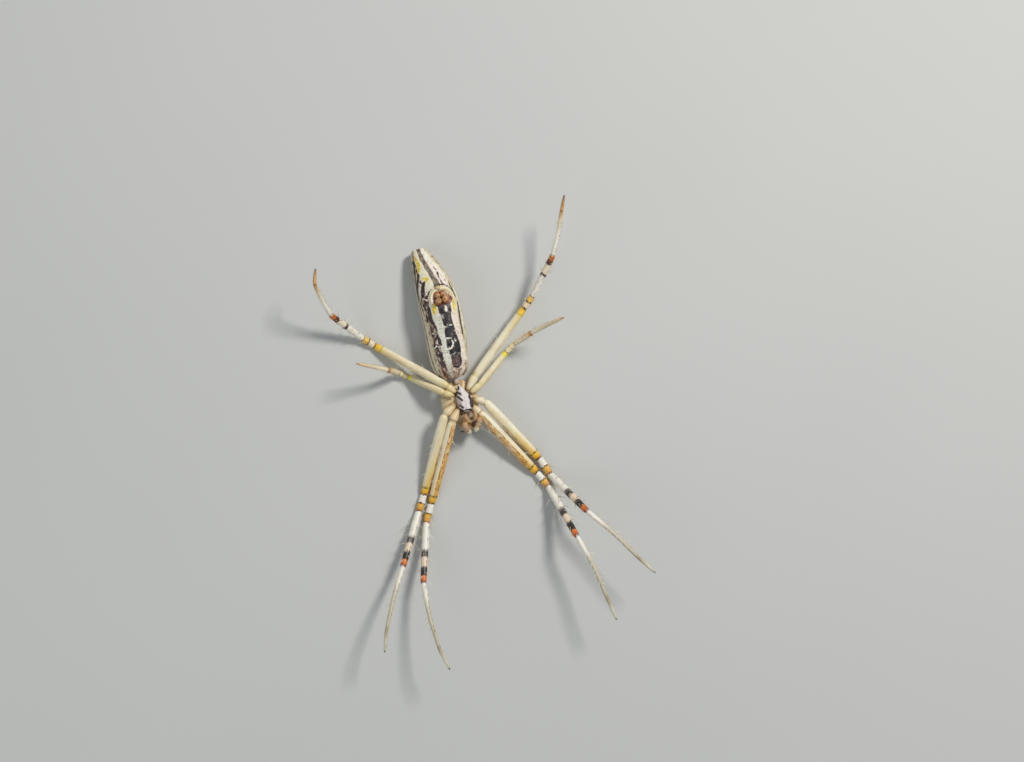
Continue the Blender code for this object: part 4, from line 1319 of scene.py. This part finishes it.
spinneret = {
    # distance from the middle and height, as shares of the solid's radius and height
    "profile": ((1.12, -0.35), (1.1, 0), (1.04, 0.12), (0.98, 0.3), (0.9, 0.46), (0.8, 0.5),
        (0.78, 0.56), (0.86, 0.62), (0.8, 0.78), (0.6, 0.92), (0.34, 1), (0, 1.02)),
    "plate": ((1.25, -0.3), (1.2, 0), (1.1, 0.35), (0.98, 0.5), (0.86, 0.3), (0.72, 0.24),
              (0.6, 0.45), (0.45, 0.8), (0.2, 0.98), (0, 1)),
    "hairs": 60,
    "hairLength": (0.08, 0.16),
    "hairThickness": 0.011,
}


def spinneretLook(name, *tones):
    # tones from the base up to the tip
    look = Look(name, (0.12, 0.3))
    fine = look.noise(9, 3)
    look.colour = look.ramp(look.attribute("pattern")[2] + (look.noise(3, 3) - 0.5) * 0.3, *tones)
    look.paint("603422", look.rise(fine, 0.56, 0.7) * 0.5)
    return look.finish(0.3 + 0.25 * fine, fine + look.noise(20, 2) * 0.4)


def buildSpinnerets():
    skin = spinneretLook(
        "spinneret skin", (0.0, "964832"), (0.3, "cc8656"),
        (0.5, "a6623e"), (0.64, "e4ae74"), (0.88, "e2b47e"),
        (1.0, "966646"))
    knob = spinneretLook("tail knob skin", (0.0, "c49664"), (0.4, "e8d6a4"),
                         (1.0, "ceb680"))
    hairTone = hairLook("spinneret hairs", "966e4c", "dec8a0")
    hairs = []
    for node in ("spinneret_front_left", "spinneret_front_right", "spinneret_rear_left",
                 "spinneret_rear_right", "anal_tubercle"):
        middle, upward, radius, height = domeOf(node)
        place = axesAlong(middle, upward, rearward)
        makePiece(spunOn(place, radius, height, spinneret["profile"], 28), f"{node}_skin",
                  knob if node == "anal_tubercle" else skin, "spinneret", (node,))
        for _ in range(spinneret["hairs"]):
            turn = chance.uniform(0, math.tau)
            rise = chance.uniform(0.2, 0.95)
            outward = place.to_3x3() @ Vector((math.cos(turn), math.sin(turn), 0))
            root = middle + outward * radius * (1.0 - 0.55 * rise) + upward * height * rise
            plant(hairs, root, outward + upward * 1.4, chance.uniform(*spinneret["hairLength"]),
                  spinneret["hairThickness"], upward, (turn / math.tau, rise))
    plantAll("spinneret_hairs", hairTone, "spinneret", hairs)
    middle, upward, radius, height = domeOf("epigyne")
    place = axesAlong(middle, upward, rearward) @ Matrix.Diagonal((1.15, 0.95, 1, 1))
    makePiece(spunOn(place, radius, height, spinneret["plate"], 36), "epigyne_skin",
              foreLook("epigyne skin", "765c58", "342628"), "spinneret",
              ("epigyne",))


# camera, light and floor

studio = {
    "aim": (4.73, 4.31, 2.0),   # millimetres, the point in the middle of the view
    "distance": 220.66,
    "tilt": 8.0,                # the camera leans towards the spider's left side
    "roll": 16.0,
    "lens": 82.76,
    "floor": ("cecfcc", "c7c8c6"),
    "sky": (0.9, 0.95, 1.0, 1.0),
    "skyStrength": 0.3,
    # place and size in millimetres, power, colour
    "lights": {"key": ((170, 110, 240), 70, 0.66, (1.0, 0.97, 0.92)),
               "fill": ((-220, -60, 160), 200, 0.14, (0.92, 0.96, 1.0))},
}


def buildCamera():
    camera = bpy.data.cameras.new("camera")
    camera.lens = studio["lens"]
    camera.sensor_width = 36
    camera.clip_start, camera.clip_end = 0.001, 2
    turn = (Matrix.Rotation(-math.radians(studio["tilt"]), 4, "Y")
            @ Matrix.Rotation(-math.radians(studio["roll"]), 4, "Z"))
    back = turn @ Vector((0, 0, studio["distance"]))
    bpy.context.scene.camera = newObject(
        "camera", camera, Matrix.Translation((Vector(studio["aim"]) + back) * mm) @ turn)


def buildStudio():
    look = Look("floor")
    cloudy = look.noise(0.02, 2)
    look.colour = look.mix(*studio["floor"], cloudy)
    bm = bmesh.new()
    bmesh.ops.create_grid(bm, x_segments=1, y_segments=1, size=1.5)
    mesh = meshOf(bm, "floor")
    mesh.materials.append(look.finish(0.65 + 0.1 * cloudy))
    floor = newObject("floor", mesh)
    for name, (place, size, power, colour) in studio["lights"].items():
        light = bpy.data.lights.new(name, "AREA")
        light.shape = "DISK"
        light.size = size * mm
        light.energy = power
        light.color = colour
        spot = Vector(place) * mm
        newObject(name, light, Matrix.Translation(spot)
                  @ (-spot).to_track_quat("-Z", "Y").to_matrix().to_4x4())
    world = bpy.data.worlds.new("studio")
    world.use_nodes = True
    sky = world.node_tree.nodes["Background"].inputs
    sky["Color"].default_value = studio["sky"]
    sky["Strength"].default_value = studio["skyStrength"]
    bpy.context.scene.world = world
    bpy.context.scene.view_settings.view_transform = "Standard"


for build in (buildCamera, buildStudio, buildLegs, buildAbdomen, buildForeBody, buildSpinnerets):
    build()
    print(build.__name__, "done")
